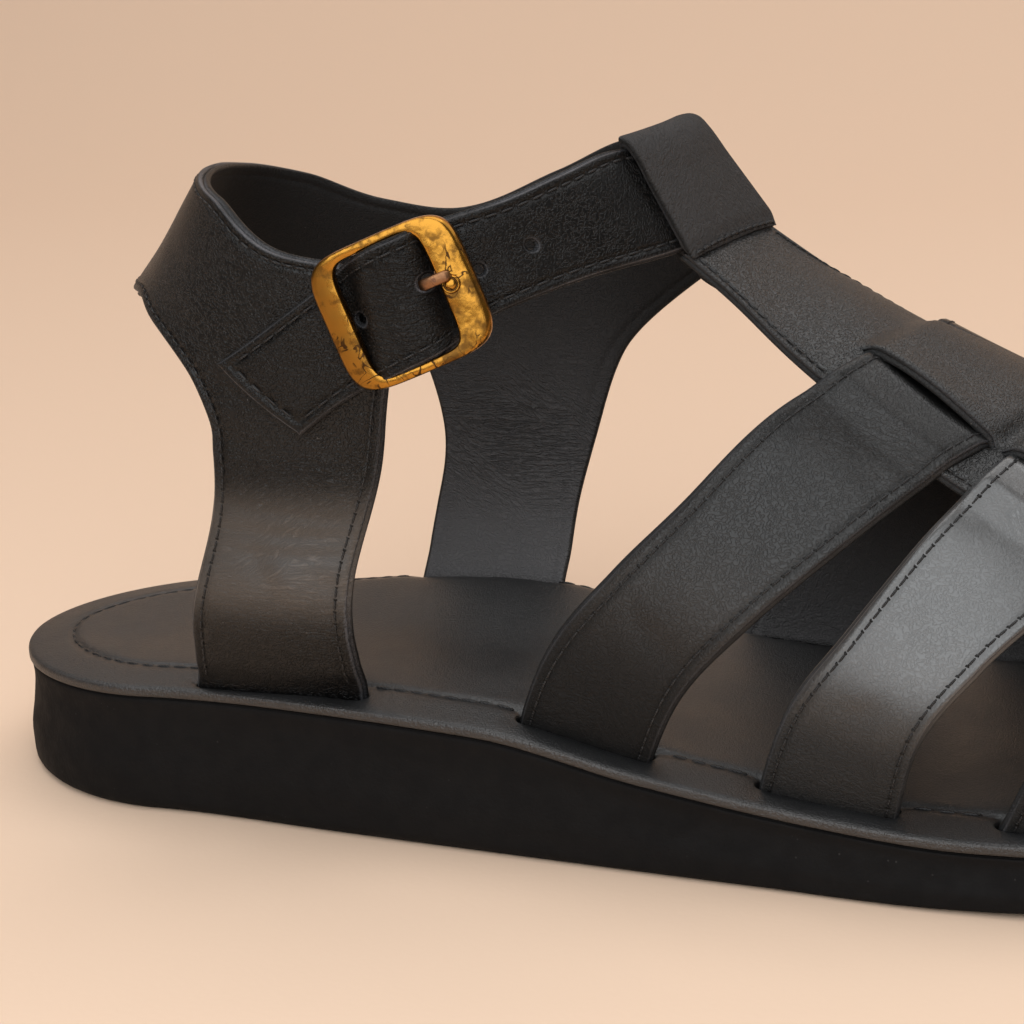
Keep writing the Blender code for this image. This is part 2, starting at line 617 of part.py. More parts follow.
swept(PRONG, PRONG_HALF_THICK, PRONG_HALF_WIDE, "prong")
hole = swept(PRONG, PRONG_HALF_THICK + 0.35, PRONG_HALF_WIDE + 0.35, "prong_hole", hidden=True)
boolean(strap, hole, "DIFFERENCE")
tab = swept(TAB, TAB_THICK / 2, TAB_HALF_WIDE, "buckle_tab", steps=16, square=True)
notch = tube(
    "tab_slot",
    [
        by_buckle(np.array([-2.9, 4.0, 4.0, -2.9]), np.full(4, across), np.array([1.3, 1.3, 8.0, 8.0]))
        for across in (-TAB_SLOT_HALF_WIDE, TAB_SLOT_HALF_WIDE)
    ],
    True,
)
boolean(tab, notch, "DIFFERENCE")

# ---------------------------------------------------------------- spine and cross straps
INSTEP_SCALE = np.array([1.0, GIRTH_MM])


def between(station, girth, key_low, key_high, soft):
    """1 between two of the spine's lines, falling to 0 over a soft girth step."""
    low, high = smooth(SPINE, "station", key_low, station), smooth(SPINE, "station", key_high, station)
    return ramp(girth, low - soft, low + soft) * (1 - ramp(girth, high - soft, high + soft))


def crossing(station, girth, soft):
    """1 where a cross strap passes, by station, falling over a soft step."""
    total = np.zeros_like(station)
    for table in CROSS_STRAPS.values():
        back, front = smooth(table, "girth", "back", girth), smooth(table, "girth", "front", girth)
        total = np.maximum(total, ramp(station, back - soft, back + soft) * (1 - ramp(station, front - soft, front + soft)))
    return total


def cross_place(points, lift):
    station, girth = points[:, 0], points[:, 1]
    over = between(station, girth, "near", "far", 0.045)
    through = between(station, girth, "slit_near", "slit_far", 0.03)
    return on_instep(station, girth, WEAVE * (over - through) + lift)


def spine_place(points, lift):
    station, girth = points[:, 0], points[:, 1]
    raised = between(station, girth, "slit_near", "slit_far", 0.02) * crossing(station, girth, 3.0)
    return on_instep(station, girth, WEAVE * raised + lift)


def spine_ring(spacing):
    sides, front = [], CROSS_STRAPS["front"]
    for edge, seam in (("near", SEAM_NEAR), ("far", SEAM_FAR)):
        first, last = seam[0] - 0.6, SPINE["station"][-1]
        for _ in range(8):
            last = float(smooth(front, "girth", "front", smooth(SPINE, "station", edge, last))) + SPINE_END
        station = (first,) + tuple(x for x in SPINE["station"] if first + 2 < x < last - 2) + (last,)
        sides.append(dict(a=station, b=tuple(smooth(SPINE, "station", edge, x) for x in station)))
    near = run(sides[0], ("a", "b"), spacing, INSTEP_SCALE)
    far = run(sides[1], ("a", "b"), spacing, INSTEP_SCALE)[::-1]
    girth = tuple(np.linspace(near[-1, 1], far[0, 1], 5))
    toe = dict(a=tuple(smooth(front, "girth", "front", np.array(girth)) + SPINE_END), b=girth)
    seam = dict(a=(far[-1, 0], near[0, 0]), b=(far[-1, 1], near[0, 1]))
    toe, seam = (run(line, ("a", "b"), spacing, INSTEP_SCALE) for line in (toe, seam))
    return joined([near, toe, far, seam])


def spine_folds():
    """Points along the spine's slits, either side of the step."""
    rows = []
    for key in ("slit_near", "slit_far"):
        for station in np.arange(148, 236, 4.5):
            for side in (-0.02, 0.02):
                rows.append((station, float(smooth(SPINE, "station", key, station)) + side))
    return np.array(rows)


def cross_ring(table, spacing):
    back = run(dict(a=table["back"], b=table["girth"]), ("a", "b"), spacing, INSTEP_SCALE)
    front = run(dict(a=table["front"][::-1], b=table["girth"][::-1]), ("a", "b"), spacing, INSTEP_SCALE)
    ends = [
        run(dict(a=(p[0], q[0]), b=(p[1], q[1])), ("a", "b"), spacing, INSTEP_SCALE)
        for p, q in ((back[-1], front[0]), (front[-1], back[0]))
    ]
    return joined([back, ends[0], front, ends[1]])


def cross_folds(table):
    """Points across a strap where it rises over the spine's margins and dips under its middle."""
    rows = []
    for key, soft in (("near", 0.045), ("slit_near", 0.03), ("slit_far", 0.03), ("far", 0.045)):
        for share in (0.1, 0.36, 0.64, 0.9):
            for side in (-soft, soft):
                girth = 0.0
                for _ in range(8):
                    back, front = smooth(table, "girth", "back", girth), smooth(table, "girth", "front", girth)
                    station = back * (1 - share) + front * share
                    girth = float(smooth(SPINE, "station", key, station)) + side
                rows.append((float(station), girth))
    return np.array(rows)


upper = leather("upper", spine_ring(4.0), INSTEP_SCALE, 4.8, spine_place, LEATHER, folds=spine_folds())
for where, table in CROSS_STRAPS.items():
    ring, folds = cross_ring(table, 5.0), cross_folds(table)
    piece = leather("cross_strap_" + where, ring, INSTEP_SCALE, 6.4, cross_place, LEATHER, True, folds)
    boolean(upper, piece, "UNION")
    for kind, around in (("_slot_faces", ring), ("_slot_ends", grown(ring, INSTEP_SCALE, 0.5))):
        slots.append(leather(where + kind, around, INSTEP_SCALE, 6.4, cross_place, LEATHER + 2 * GAP, True, folds))
for slot in slots:
    boolean(footbed, slot, "DIFFERENCE")

# Loop: up behind the ankle strap, over its top edge, down its front to the seam.
w = np.linspace(0, 1, 6)
rows = []


def across_spine(ahead, lift):
    station = (SEAM_NEAR[0] + ahead) * (1 - w) + (SEAM_FAR[0] + ahead) * w
    girth = SEAM_NEAR[1] * (1 - w) + SEAM_FAR[1] * w
    return on_instep(station, girth, lift)


def across_loop(height, lift):
    a, b = smooth(LOOP_NEAR, "height", "angle", height), smooth(LOOP_FAR, "height", "angle", height)
    a = a - LOOP_TUCK * (lift <= 0)
    rise = height + LOOP_SLANT * w
    return on_ankle(a * (1 - w) + b * w, rise, lift)


LOOP_TOP = 114.5
path = [across_spine(5.0, -0.7), across_spine(1.2, -0.8)]
path += [across_loop(z, lift) for z, lift in ((96.2, -0.2), (96.9, -1.7), (99.0, -LOOP_LIFT))]
path += [across_loop(z, -LOOP_LIFT) for z in (106, LOOP_TOP)]
for turn_at in np.linspace(-60, 60, 5):
    a = np.radians(turn_at)
    path.append(across_loop(LOOP_TOP + LOOP_LIFT * np.cos(a), LOOP_LIFT * np.sin(a)))
path += [across_loop(z, LOOP_LIFT) for z in (LOOP_TOP, 108, 99.8)]
path += [across_spine(-0.4, 1.7), across_spine(1.4, 1.1)]
path = np.array(path)
along = np.gradient(path, axis=0)
over_w = np.gradient(path, axis=1)
normal = np.cross(over_w, along)
normal /= np.linalg.norm(normal, axis=2, keepdims=True)
outer_face, inner_face = path + normal * LOOP_LEATHER / 2, path - normal * LOOP_LEATHER / 2
rings = [np.concatenate([o, i[::-1]]) for o, i in zip(outer_face, inner_face)]
loop = tube("loop", rings, True)
boolean(upper, loop, "UNION", folded=True)
boolean(upper, slot_floor, "DIFFERENCE")
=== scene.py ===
"""Right fisherman sandal: black leather upper woven through a slit spine, on a
low wedge of foam, closed by a strap and an antique gold buckle.

Lengths are in millimetres and stations run from the sole's rearmost point
until a piece is put into its mesh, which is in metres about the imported
model's origin. +X is the toe, +Y the big toe's side, +Z up.
"""

import bpy
import numpy as np
from mathutils import Matrix
from mathutils.geometry import delaunay_2d_cdt


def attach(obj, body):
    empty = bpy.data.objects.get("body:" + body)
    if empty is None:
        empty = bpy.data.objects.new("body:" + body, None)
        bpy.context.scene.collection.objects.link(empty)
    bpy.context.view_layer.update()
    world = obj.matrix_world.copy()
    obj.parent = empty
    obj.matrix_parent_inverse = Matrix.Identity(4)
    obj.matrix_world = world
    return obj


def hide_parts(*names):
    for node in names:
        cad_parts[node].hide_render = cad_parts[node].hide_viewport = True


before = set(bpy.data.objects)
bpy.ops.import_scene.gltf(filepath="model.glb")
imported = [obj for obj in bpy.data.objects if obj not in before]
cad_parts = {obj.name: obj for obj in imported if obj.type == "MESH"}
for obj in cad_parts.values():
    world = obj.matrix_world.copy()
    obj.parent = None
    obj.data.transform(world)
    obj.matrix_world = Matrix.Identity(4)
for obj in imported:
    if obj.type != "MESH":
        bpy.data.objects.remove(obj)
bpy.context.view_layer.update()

# ---------------------------------------------------------------- outsole
# One wedge of blown foam rubber, moulded with an even skin: thick under the
# heel, thin at the ball, sprung up at the toe. Shallow channels cross its tread.
ORIGIN_STATION = 36.9
SOLE_LENGTH = 262.0
HEEL_ROUND, HEEL_SQUARENESS = 36.9, 1.9
TOE_ROUND, TOE_SQUARENESS, TOE_SIDE = 68.0, 2.1, 6.0
FOOTBED_THICK = 2.3
SOLE = dict(
    station=(0.0, 36.9, 75.0, 110.0, 150.0, 180.0, 205.0, 230.0, 262.0),
    lateral=(31.4, 31.4, 34.9, 38.1, 41.3, 43.6, 43.4, 41.5, 40.0),
    medial=(31.0, 31.0, 31.3, 33.0, 39.0, 44.0, 46.0, 46.0, 44.0),
)
HEIGHT = dict(
    station=(0.0, 60.0, 100.0, 130.0, 160.0, 185.0, 205.0, 230.0, 262.0),
    top=(23.0, 24.2, 23.0, 17.5, 13.6, 12.1, 12.6, 15.4, 21.0),
    tread=(0.0, 0.0, 0.0, 0.0, 0.0, 0.3, 1.6, 4.6, 10.0),
)
# Side of the wedge, from the tread up: share of the height, and inset.
SIDE = dict(
    share=(0.0, 0.012, 0.03, 0.06, 0.10, 0.30, 0.60, 0.86, 0.965, 0.988, 1.0),
    inset=(1.9, 1.2, 0.7, 0.25, 0.0, 0.0, 0.9, 1.5, 1.35, 1.5, 1.95),
)
# The meshed levels of the side, close together at its rounded corners.
LEVELS = (0, 0.006, 0.014, 0.028, 0.05, 0.08, *np.linspace(0.12, 0.93, 14), 0.95, 0.97, 0.983, 0.992, 1.0)
AROUND = 400  # points round each level
UNEVEN = 0.16  # how far the moulded wall wanders in and out
CHANNEL_PITCH, CHANNEL_DEPTH = 11.0, 0.9
CHANNEL_MARGIN = 7.0  # bare tread left at the outline
CHANNEL_STARTS, CHANNEL_STOPS = (8, 14), (244, 250)  # stations over which they deepen and end
FOAM, FOAM_PALE, FOAM_SPECK = (0.0048, 0.0045, 0.0047), (0.0085, 0.0080, 0.0082), (0.06, 0.057, 0.057)
TINY = 1e-12


def hermite(t, start, end, leaving, arriving):
    """The cubic from start at t 0 to end at t 1 that leaves and arrives at these rates."""
    bend = leaving * t * (1 - t) ** 2 + arriving * t * t * (t - 1)
    return start * (1 + 2 * t) * (1 - t) ** 2 + end * t * t * (3 - 2 * t) + bend


def smooth(table, key, value, at):
    """Shape-keeping cubic through a table's rows: Hermite pieces whose slopes
    are harmonic means of the neighbouring chords, and zero at a turning point."""
    xs, ys = np.array(table[key], float), np.array(table[value], float)
    if xs[0] > xs[-1]:
        xs, ys = xs[::-1], ys[::-1]
    at = np.clip(at, xs[0], xs[-1])
    step = np.diff(xs)
    slope = np.diff(ys) / step
    tangent = np.zeros_like(xs)
    tangent[0], tangent[-1] = slope[0], slope[-1]
    w1, w2 = 2 * step[1:] + step[:-1], step[1:] + 2 * step[:-1]
    same = slope[1:] * slope[:-1] > 0
    a, b = np.where(same, slope[:-1], 1), np.where(same, slope[1:], 1)
    tangent[1:-1] = np.where(same, (w1 + w2) / (w1 / a + w2 / b), 0)
    i = np.clip(np.searchsorted(xs, at) - 1, 0, len(xs) - 2)
    t, h = (at - xs[i]) / step[i], step[i]
    return hermite(t, ys[i], ys[i + 1], tangent[i] * h, tangent[i + 1] * h)


def ramp(x, start, end):
    """0 before start, 1 after end, and the cubic 3t^2 - 2t^3 between."""
    t = np.clip((x - start) / (end - start), 0, 1)
    return t * t * (3 - 2 * t)


def bell(x, middle, spread, power=2):
    """1 at the middle, falling to both sides: e to minus a power of the distance's
    share of the spread."""
    return np.exp(-np.abs((x - middle) / spread) ** power)


def lengths(line):
    """How far along a line each of its points lies."""
    return np.concatenate([[0], np.cumsum(np.linalg.norm(np.diff(line, axis=0), axis=1))])


def left_of(along):
    """The unit vector on the left of each plan direction."""
    along = along / (np.linalg.norm(along, axis=1, keepdims=True) + TINY)
    return np.stack([-along[:, 1], along[:, 0]], 1)


def inward(ring, by):
    """A closed ring moved to its left, square to the chord between each point's neighbours."""
    return ring + left_of(np.roll(ring, -1, 0) - np.roll(ring, 1, 0)) * np.reshape(by, (-1, 1))


def half_width(station, side):
    """Half the sole's width: the table's, times a superellipse quarter at each end."""
    heel = np.clip((HEEL_ROUND - station) / HEEL_ROUND, 0, 1)
    toe = np.clip((station - SOLE_LENGTH + TOE_ROUND) / TOE_ROUND, 0, 1)
    return (
        smooth(SOLE, "station", side, station)
        * (1 - heel**HEEL_SQUARENESS) ** (1 / HEEL_SQUARENESS)
        * (1 - toe**TOE_SQUARENESS) ** (1 / TOE_SQUARENESS)
    )


def outline(inset, count):
    """Closed outline of the sole from the heel round the lateral side to the toe
    and back: the half widths at cosine-spaced stations, moved in along the normal."""
    share = 0.5 - 0.5 * np.cos(np.linspace(0, np.pi, count // 2 + 1))
    station = SOLE_LENGTH * share
    drift = TOE_SIDE * ramp(station, SOLE_LENGTH - TOE_ROUND, SOLE_LENGTH)
    lateral = np.stack([station, drift - half_width(station, "lateral")], 1)
    medial = np.stack([station, drift + half_width(station, "medial")], 1)
    return inward(np.concatenate([lateral, medial[-2:0:-1]]), inset)


def top_of_sole(station):
    return smooth(HEIGHT, "station", "top", station)


def tread(station):
    return smooth(HEIGHT, "station", "tread", station)


def make(name, points, faces, look, slot, stands_for=(), pattern=None, **marks):
    """Put points (mm), faces (one array per number of corners), a UV map of
    pattern millimetres and marks (a number per point) into a mesh object. The
    faces are turned round together if the body's signed volume is negative."""
    points = (np.asarray(points, float).reshape(-1, 3) - (ORIGIN_STATION, 0, 0)) * 0.001
    faces = [np.asarray(f) for f in faces if len(f)]
    volume = sum(
        np.einsum("ij,ij->", points[f[:, 0]], np.cross(points[f[:, k]], points[f[:, k + 1]]))
        for f in faces
        for k in range(1, f.shape[1] - 1)
    )
    if volume < 0:
        faces = [f[:, ::-1] for f in faces]
    corner = np.concatenate([f.ravel() for f in faces]).astype(np.int32)
    total = np.concatenate([np.full(len(f), f.shape[1]) for f in faces])
    start = (np.cumsum(total) - total).astype(np.int32)
    mesh = bpy.data.meshes.new(name)
    mesh.vertices.add(len(points))
    mesh.vertices.foreach_set("co", points.ravel())
    mesh.loops.add(len(corner))
    mesh.loops.foreach_set("vertex_index", corner)
    mesh.polygons.add(len(total))
    mesh.polygons.foreach_set("loop_start", start)
    mesh.update(calc_edges=True)
    mesh.validate()
    mesh.shade_smooth()
    if pattern is not None:
        layer = mesh.uv_layers.new(name="pattern")
        layer.data.foreach_set("uv", np.asarray(pattern, float)[corner].ravel())
    for mark, values in marks.items():
        values = np.ascontiguousarray(np.broadcast_to(np.asarray(values, float), len(points)))
        mesh.attributes.new(mark, "FLOAT", "POINT").data.foreach_set("value", values)
    mesh.materials.append(look)
    piece = bpy.data.objects.new(name, mesh)
    bpy.context.scene.collection.objects.link(piece)
    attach(piece, "root")
    if stands_for:
        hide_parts(*stands_for)
    return piece


def grid(rows, columns, around=False, closed=False):
    """Quads of a rows by columns grid of points, closed across or along if asked."""
    i = np.arange(rows if closed else rows - 1)[:, None]
    j = np.arange(columns if around else columns - 1)[None]
    after, beside = (i + 1) % rows * columns, (j + 1) % columns
    i = i * columns
    return np.stack([i + j, i + beside, after + beside, after + j], -1).reshape(-1, 4)


def caps(rows, columns):
    """The two end faces of a tube of rows rings of columns points."""
    return np.array([np.arange(columns)[::-1], (rows - 1) * columns + np.arange(columns)])


def lid(ring, first, columns, start):
    """Close a ring from side to side: straight rows of points between its lateral
    and medial halves, and a fan at the heel and at the toe. Gives the new points'
    plan, the quads and the fans."""
    count = len(ring)
    row = np.arange(1, count // 2)
    share = np.linspace(0, 1, columns + 2)[:, None]
    plan = ring[row][:, None] * (1 - share) + ring[count - row][:, None] * share
    index = start + np.arange(len(row) * columns).reshape(len(row), columns)
    index = np.column_stack([first + row, index, first + count - row])
    corners = [index[:-1, :-1], index[1:, :-1], index[1:, 1:], index[:-1, 1:]]
    quads = np.stack(corners, -1).reshape(-1, 4)
    heel = np.stack([np.full(columns + 1, first), index[0, :-1], index[0, 1:]], 1)
    toe = np.stack([np.full(columns + 1, first + count // 2), index[-1, 1:], index[-1, :-1]], 1)
    return plan[:, 1:-1].reshape(-1, 2), quads, np.concatenate([heel, toe])


def add(tree, kind, ins=(), **settings):
    """A shader node with its settings, and its inputs set to a value or joined to an output."""
    made = tree.nodes.new("ShaderNode" + kind)
    for key, value in settings.items():
        setattr(made, key, value)
    for key, value in dict(ins).items():
        if isinstance(value, bpy.types.NodeSocket):
            tree.links.new(value, made.inputs[key])
        else:
            made.inputs[key].default_value = value
    return made


def sums(tree, operation, a, b=0.0, c=0.0):
    """One Math node's result."""
    return add(tree, "Math", {0: a, 1: b, 2: c}, operation=operation).outputs[0]


def times(tree, a, b):
    return sums(tree, "MULTIPLY", a, b)


def plus(tree, a, b):
    return sums(tree, "ADD", a, b)


def swing(tree, value):
    """How far a value lies from a half, either way."""
    return sums(tree, "ABSOLUTE", sums(tree, "SUBTRACT", value, 0.5))


def between_values(tree, value, low, high, start=0.0, end=1.0):
    """A value taken smoothly from start at low to end at high, and held beyond."""
    ins = {"Value": value, "From Min": low, "From Max": high, "To Min": start, "To Max": end}
    return add(tree, "MapRange", ins, interpolation_type="SMOOTHSTEP").outputs["Result"]


def blend(tree, share, first, second):
    """Two colours mixed by a share. Each is an output or three numbers."""
    first, second = ((*c, 1.0) if isinstance(c, tuple) else c for c in (first, second))
    return add(tree, "Mix", {0: share, 6: first, 7: second}, data_type="RGBA").outputs[2]


def mixed(tree, share, first, second):
    """Two values mixed by a share."""
    return add(tree, "Mix", {0: share, 2: first, 3: second}, data_type="FLOAT").outputs[0]


def noise(tree, vector, scale, detail=3.0, roughness=0.5, distortion=0.0):
    ins = dict(Vector=vector, Scale=scale, Detail=detail, Roughness=roughness, Distortion=distortion)
    return add(tree, "TexNoise", ins).outputs["Fac"]


def cells(tree, vector, scale):
    """Distance to the nearest of many scattered points."""
    return add(tree, "TexVoronoi", {"Vector": vector, "Scale": scale}).outputs["Distance"]


def material(name, **values):
    """A new material, its tree, its main shader with these constant values, and its
    object coordinates."""
    made = bpy.data.materials.new(name)
    made.use_nodes = True
    tree = made.node_tree
    shader = tree.nodes["Principled BSDF"]
    for key, value in values.items():
        shader.inputs[key.replace("_", " ")].default_value = value
    place = add(tree, "TexCoord").outputs["Object"]
    return made, tree, shader, place


def finish(tree, shader, height, **links):
    """Join colours and values to the shader, and a height in millimetres through a bump."""
    bump = add(tree, "Bump", {"Height": height, "Distance": 0.001, "Strength": 1.0})
    tree.links.new(bump.outputs["Normal"], shader.inputs["Normal"])
    for key, value in links.items():
        tree.links.new(value, shader.inputs[key.replace("_", " ")])


foam, tree, shader, place = material("sole_foam", Specular_IOR_Level=0.12)
pebble = noise(tree, place, 1500.0, 2.0, 0.62)
dents = noise(tree, place, 260.0, 3.0)
specks = between_values(tree, cells(tree, place, 520.0), 0.05, 0.11, 1.0, 0.0)
lone = between_values(tree, noise(tree, place, 330.0, 1.0), 0.55, 0.62)
specks = times(tree, specks, lone)
cloudy = blend(tree, noise(tree, place, 45.0), FOAM, FOAM_PALE)
finish(
    tree,
    shader,
    plus(tree, times(tree, pebble, 0.11), times(tree, dents, 0.22)),
    Base_Color=blend(tree, times(tree, specks, 0.5), cloudy, FOAM_SPECK),
    Roughness=between_values(tree, dents, 0.3, 0.7, 0.66, 0.8),
)

walls = []
for share in LEVELS:
    inset = smooth(SIDE, "share", "inset", share)
    ring = outline(inset, AROUND)
    wander = np.sin(ring[:, 1] * 0.21 + 5 * share) * np.sin(ring[:, 0] * 0.13 + 2)
    ring = outline(inset + UNEVEN * wander * np.sin(np.pi * share), AROUND)
    low, high = tread(ring[:, 0]), top_of_sole(ring[:, 0]) - FOOTBED_THICK
    walls.append(np.column_stack([ring, low + (high - low) * share]))
points = np.concatenate(walls)
last = (len(LEVELS) - 1) * AROUND
under, under_quads, under_fans = lid(walls[0][:, :2], 0, 48, len(points))
over, over_quads, over_fans = lid(walls[-1][:, :2], last, 12, len(points) + len(under))
to_edge = half_width(under[:, 0], "lateral") - np.abs(under[:, 1] - 1) - CHANNEL_MARGIN
wave = np.sin(2 * np.pi * (under[:, 0] + 3 * np.cos(under[:, 1] / 9)) / CHANNEL_PITCH)
channel = CHANNEL_DEPTH * ramp(wave, 0.35, 0.85) * np.clip(to_edge, 0, 3) / 3
channel *= ramp(under[:, 0], *CHANNEL_STARTS) * (1 - ramp(under[:, 0], *CHANNEL_STOPS))
under = np.column_stack([under, tread(under[:, 0]) + channel])
over = np.column_stack([over, top_of_sole(over[:, 0]) - FOOTBED_THICK])
wall = grid(len(LEVELS), AROUND, around=True)
quads = np.concatenate([wall, under_quads, over_quads[:, ::-1]])
fans = np.concatenate([under_fans, over_fans[:, ::-1]])
make("outsole_foam", np.concatenate([points, under, over]), [quads, fans], foam, "sole_foam", ["outsole"])

# ---------------------------------------------------------------- footbed
# A board of thick satin leather, 2.3 mm, glued on the foam: burnished cut edge,
# crowned inside it, with a sunken line of thick thread and a slot for each strap.
FOOTBED_INSET = 0.9
CROWN_RISE, CROWN_WIDTH = 1.4, 9.6
ARCH_RISE, ARCH_STATION, ARCH_SPREAD = 4.9, 90.0, 35.0
CUP_DEPTH, CUP_STATION = 1.2, 36.0
SLOT_HALF = 1.55
# Both ends of each slot: degrees round the ankle for the quarter's legs, stations
# for the cross straps on the lateral (-1) and the medial (1) side.
ANKLE_SLOTS = ((-86.0, -62.6), (82.3, 100.2))
CROSS_SLOTS = {
    -1.0: ((107.9, 129.2), (149.5, 170.4), (188.4, 207.9)),
    1.0: ((134.6, 158.9), (179.8, 198.0), (212.6, 228.9)),
}
SLOT_HEIGHT = 24.5  # where the ankle's ring is read for its slots
BOARD, BOARD_PALE, BOARD_SEWN = (0.0100, 0.0101, 0.0106), (0.0165, 0.0167, 0.0176), (0.009, 0.0085, 0.0085)
# The last colour is painted shade on the cut edge down inside the strap slots.
BOARD_EDGE, BOARD_EDGE_DARK, SLOT_WALL_SHADE = (0.024, 0.021, 0.020), (0.013, 0.011, 0.010), (0.003, 0.003, 0.003)

# How a cut edge is shaped: distance in from the outline, and share of half the
# thickness. The first is one thick ply, the second two plies with a groove between.
ONE_PLY = (
    (0.95, 1), (0.6, 0.97), (0.28, 0.84), (0.08, 0.6), (0, 0.3),
    (0, -0.3), (0, -0.75), (0.3, -1), (0.95, -1),
)
TWO_PLIES = (
    (1.15, 1), (0.72, 0.95), (0.5, 0.78), (0.42, 0.45), (0.5, 0.2), (0.66, 0.08), (0.62, -0.04),
    (0.1, -0.14), (0, -0.42), (0.1, -0.78), (0.42, -0.96), (1.15, -1),
)


def footbed_rise(station, side, away):
    """Footbed's skin over its edge: a crown that rises as the 0.8th power of the
    distance in, a bell-shaped medial arch, and a shallow bell-shaped heel cup."""
    rise = CROWN_RISE * np.clip(away / CROWN_WIDTH, 0, 1) ** 0.8
    arch = ARCH_RISE * bell(station, ARCH_STATION, ARCH_SPREAD)
    arch = arch * ramp(side, -6, 24) * ramp(away, 0, CROWN_WIDTH)
    return rise + arch - CUP_DEPTH * bell(station, CUP_STATION, 26) * bell(side, 0, 20)


def flat_distance(points, ring):
    """Distance from points to a closed ring's nearest side, taken in batches."""
    side = np.roll(ring, -1, 0) - ring
    length = np.linalg.norm(side, axis=1)
    away = []
    for part in np.array_split(points, max(1, len(points) // 1500)):
        t = np.clip(((part[:, None] - ring) * side).sum(2) / (length**2 + TINY), 0, 1)
        away.append(np.linalg.norm(part[:, None] - (ring + t[..., None] * side), axis=2).min(1))
    return np.concatenate(away)


def within(points, rings):
    """Whether each point lies inside an odd number of the rings: it counts the sides
    that a line to the right of the point crosses."""
    a = np.concatenate(rings)
    b = np.concatenate([np.roll(r, -1, 0) for r in rings])
    rise = np.where(a[:, 1] == b[:, 1], 1, b[:, 1] - a[:, 1])
    odd = []
    for part in np.array_split(points, max(1, len(points) // 1500)):
        y = part[:, None, 1]
        crosses = (a[:, 1] > y) != (b[:, 1] > y)
        at = a[:, 0] + (y - a[:, 1]) * (b[:, 0] - a[:, 0]) / rise
        odd.append((crosses & (part[:, None, 0] < at)).sum(1) % 2 == 1)
    return np.concatenate(odd)


def panel(
    name,
    rings,
    scale,
    spacing,
    place,
    thick,
    look,
    stands_for,
    edge=TWO_PLIES,
    slot="black_leather",
    **marks,
):
    """A cut piece of leather with holes. Its outer and inner faces fill the pattern
    with even triangles; between them each outline is carried through the steps of
    the edge's shape. place(pattern, lift, away) sets a pattern point on the last."""
    scale = np.array(scale, float)
    flats = [ring * scale for ring in rings]
    area = [np.sum(f[:, 0] * np.roll(f[:, 1], -1) - np.roll(f[:, 0], -1) * f[:, 1]) for f in flats]
    flats = [f if (a > 0) == (k == 0) else f[::-1] for k, (f, a) in enumerate(zip(flats, area))]
    steps = [np.concatenate([inward(f, by) for f in flats]) for by, _ in edge]
    rims = [inward(f, edge[0][0]) for f in flats]
    low, high = rims[0].min(0), rims[0].max(0)
    u, v = np.arange(low[0], high[0], spacing), np.arange(low[1], high[1], spacing * 0.87)
    field = np.stack(np.meshgrid(u, v), -1)
    field[1::2, :, 0] += spacing / 2
    field = field.reshape(-1, 2)
    field = field[within(field, rims)]
    field = field[np.min([flat_distance(field, r) for r in rims], 0) > spacing * 0.55]
    sizes = [len(f) for f in flats]
    starts = np.cumsum(sizes) - sizes
    sides = [np.stack([s + np.arange(n), s + (np.arange(n) + 1) % n], 1) for s, n in zip(starts, sizes)]
    sides = np.concatenate(sides)
    flat, _, fill, _, _, _ = delaunay_2d_cdt(
        [tuple(p) for p in np.concatenate([*rims, field])], sides.tolist(), [], 1, 1e-5
    )
    flat, fill = np.array([tuple(p) for p in flat]), np.array([tuple(f) for f in fill])
    fill = fill[within(flat[fill].mean(1), rims)]
    total, rim = len(flat), len(sides)
    levels = [np.arange(rim)]
    levels += [2 * total + k * rim + np.arange(rim) for k in range(len(edge) - 2)]
    levels += [total + np.arange(rim)]
    i, j = sides.T
    walls = [np.stack([a[i], b[i], b[j], a[j]], 1) for a, b in zip(levels[:-1], levels[1:])]
    shares = [np.ones(total), -np.ones(total), np.repeat([share for _, share in edge[1:-1]], rim)]
    shares = np.concatenate(shares)
    spread = np.concatenate([flat, flat, *steps[1:-1]])
    gaps = [flat_distance(spread, f) for f in flats]
    points = place(spread / scale, shares * thick / 2, np.min(gaps, 0))
    marks = {mark: function(spread / scale) for mark, function in marks.items()}
    faces = [np.concatenate([fill, fill[:, ::-1] + total]), np.concatenate(walls)]
    make(name, points, faces, look, slot, stands_for, pattern=spread, seam=gaps[0], ply=shares, **marks)


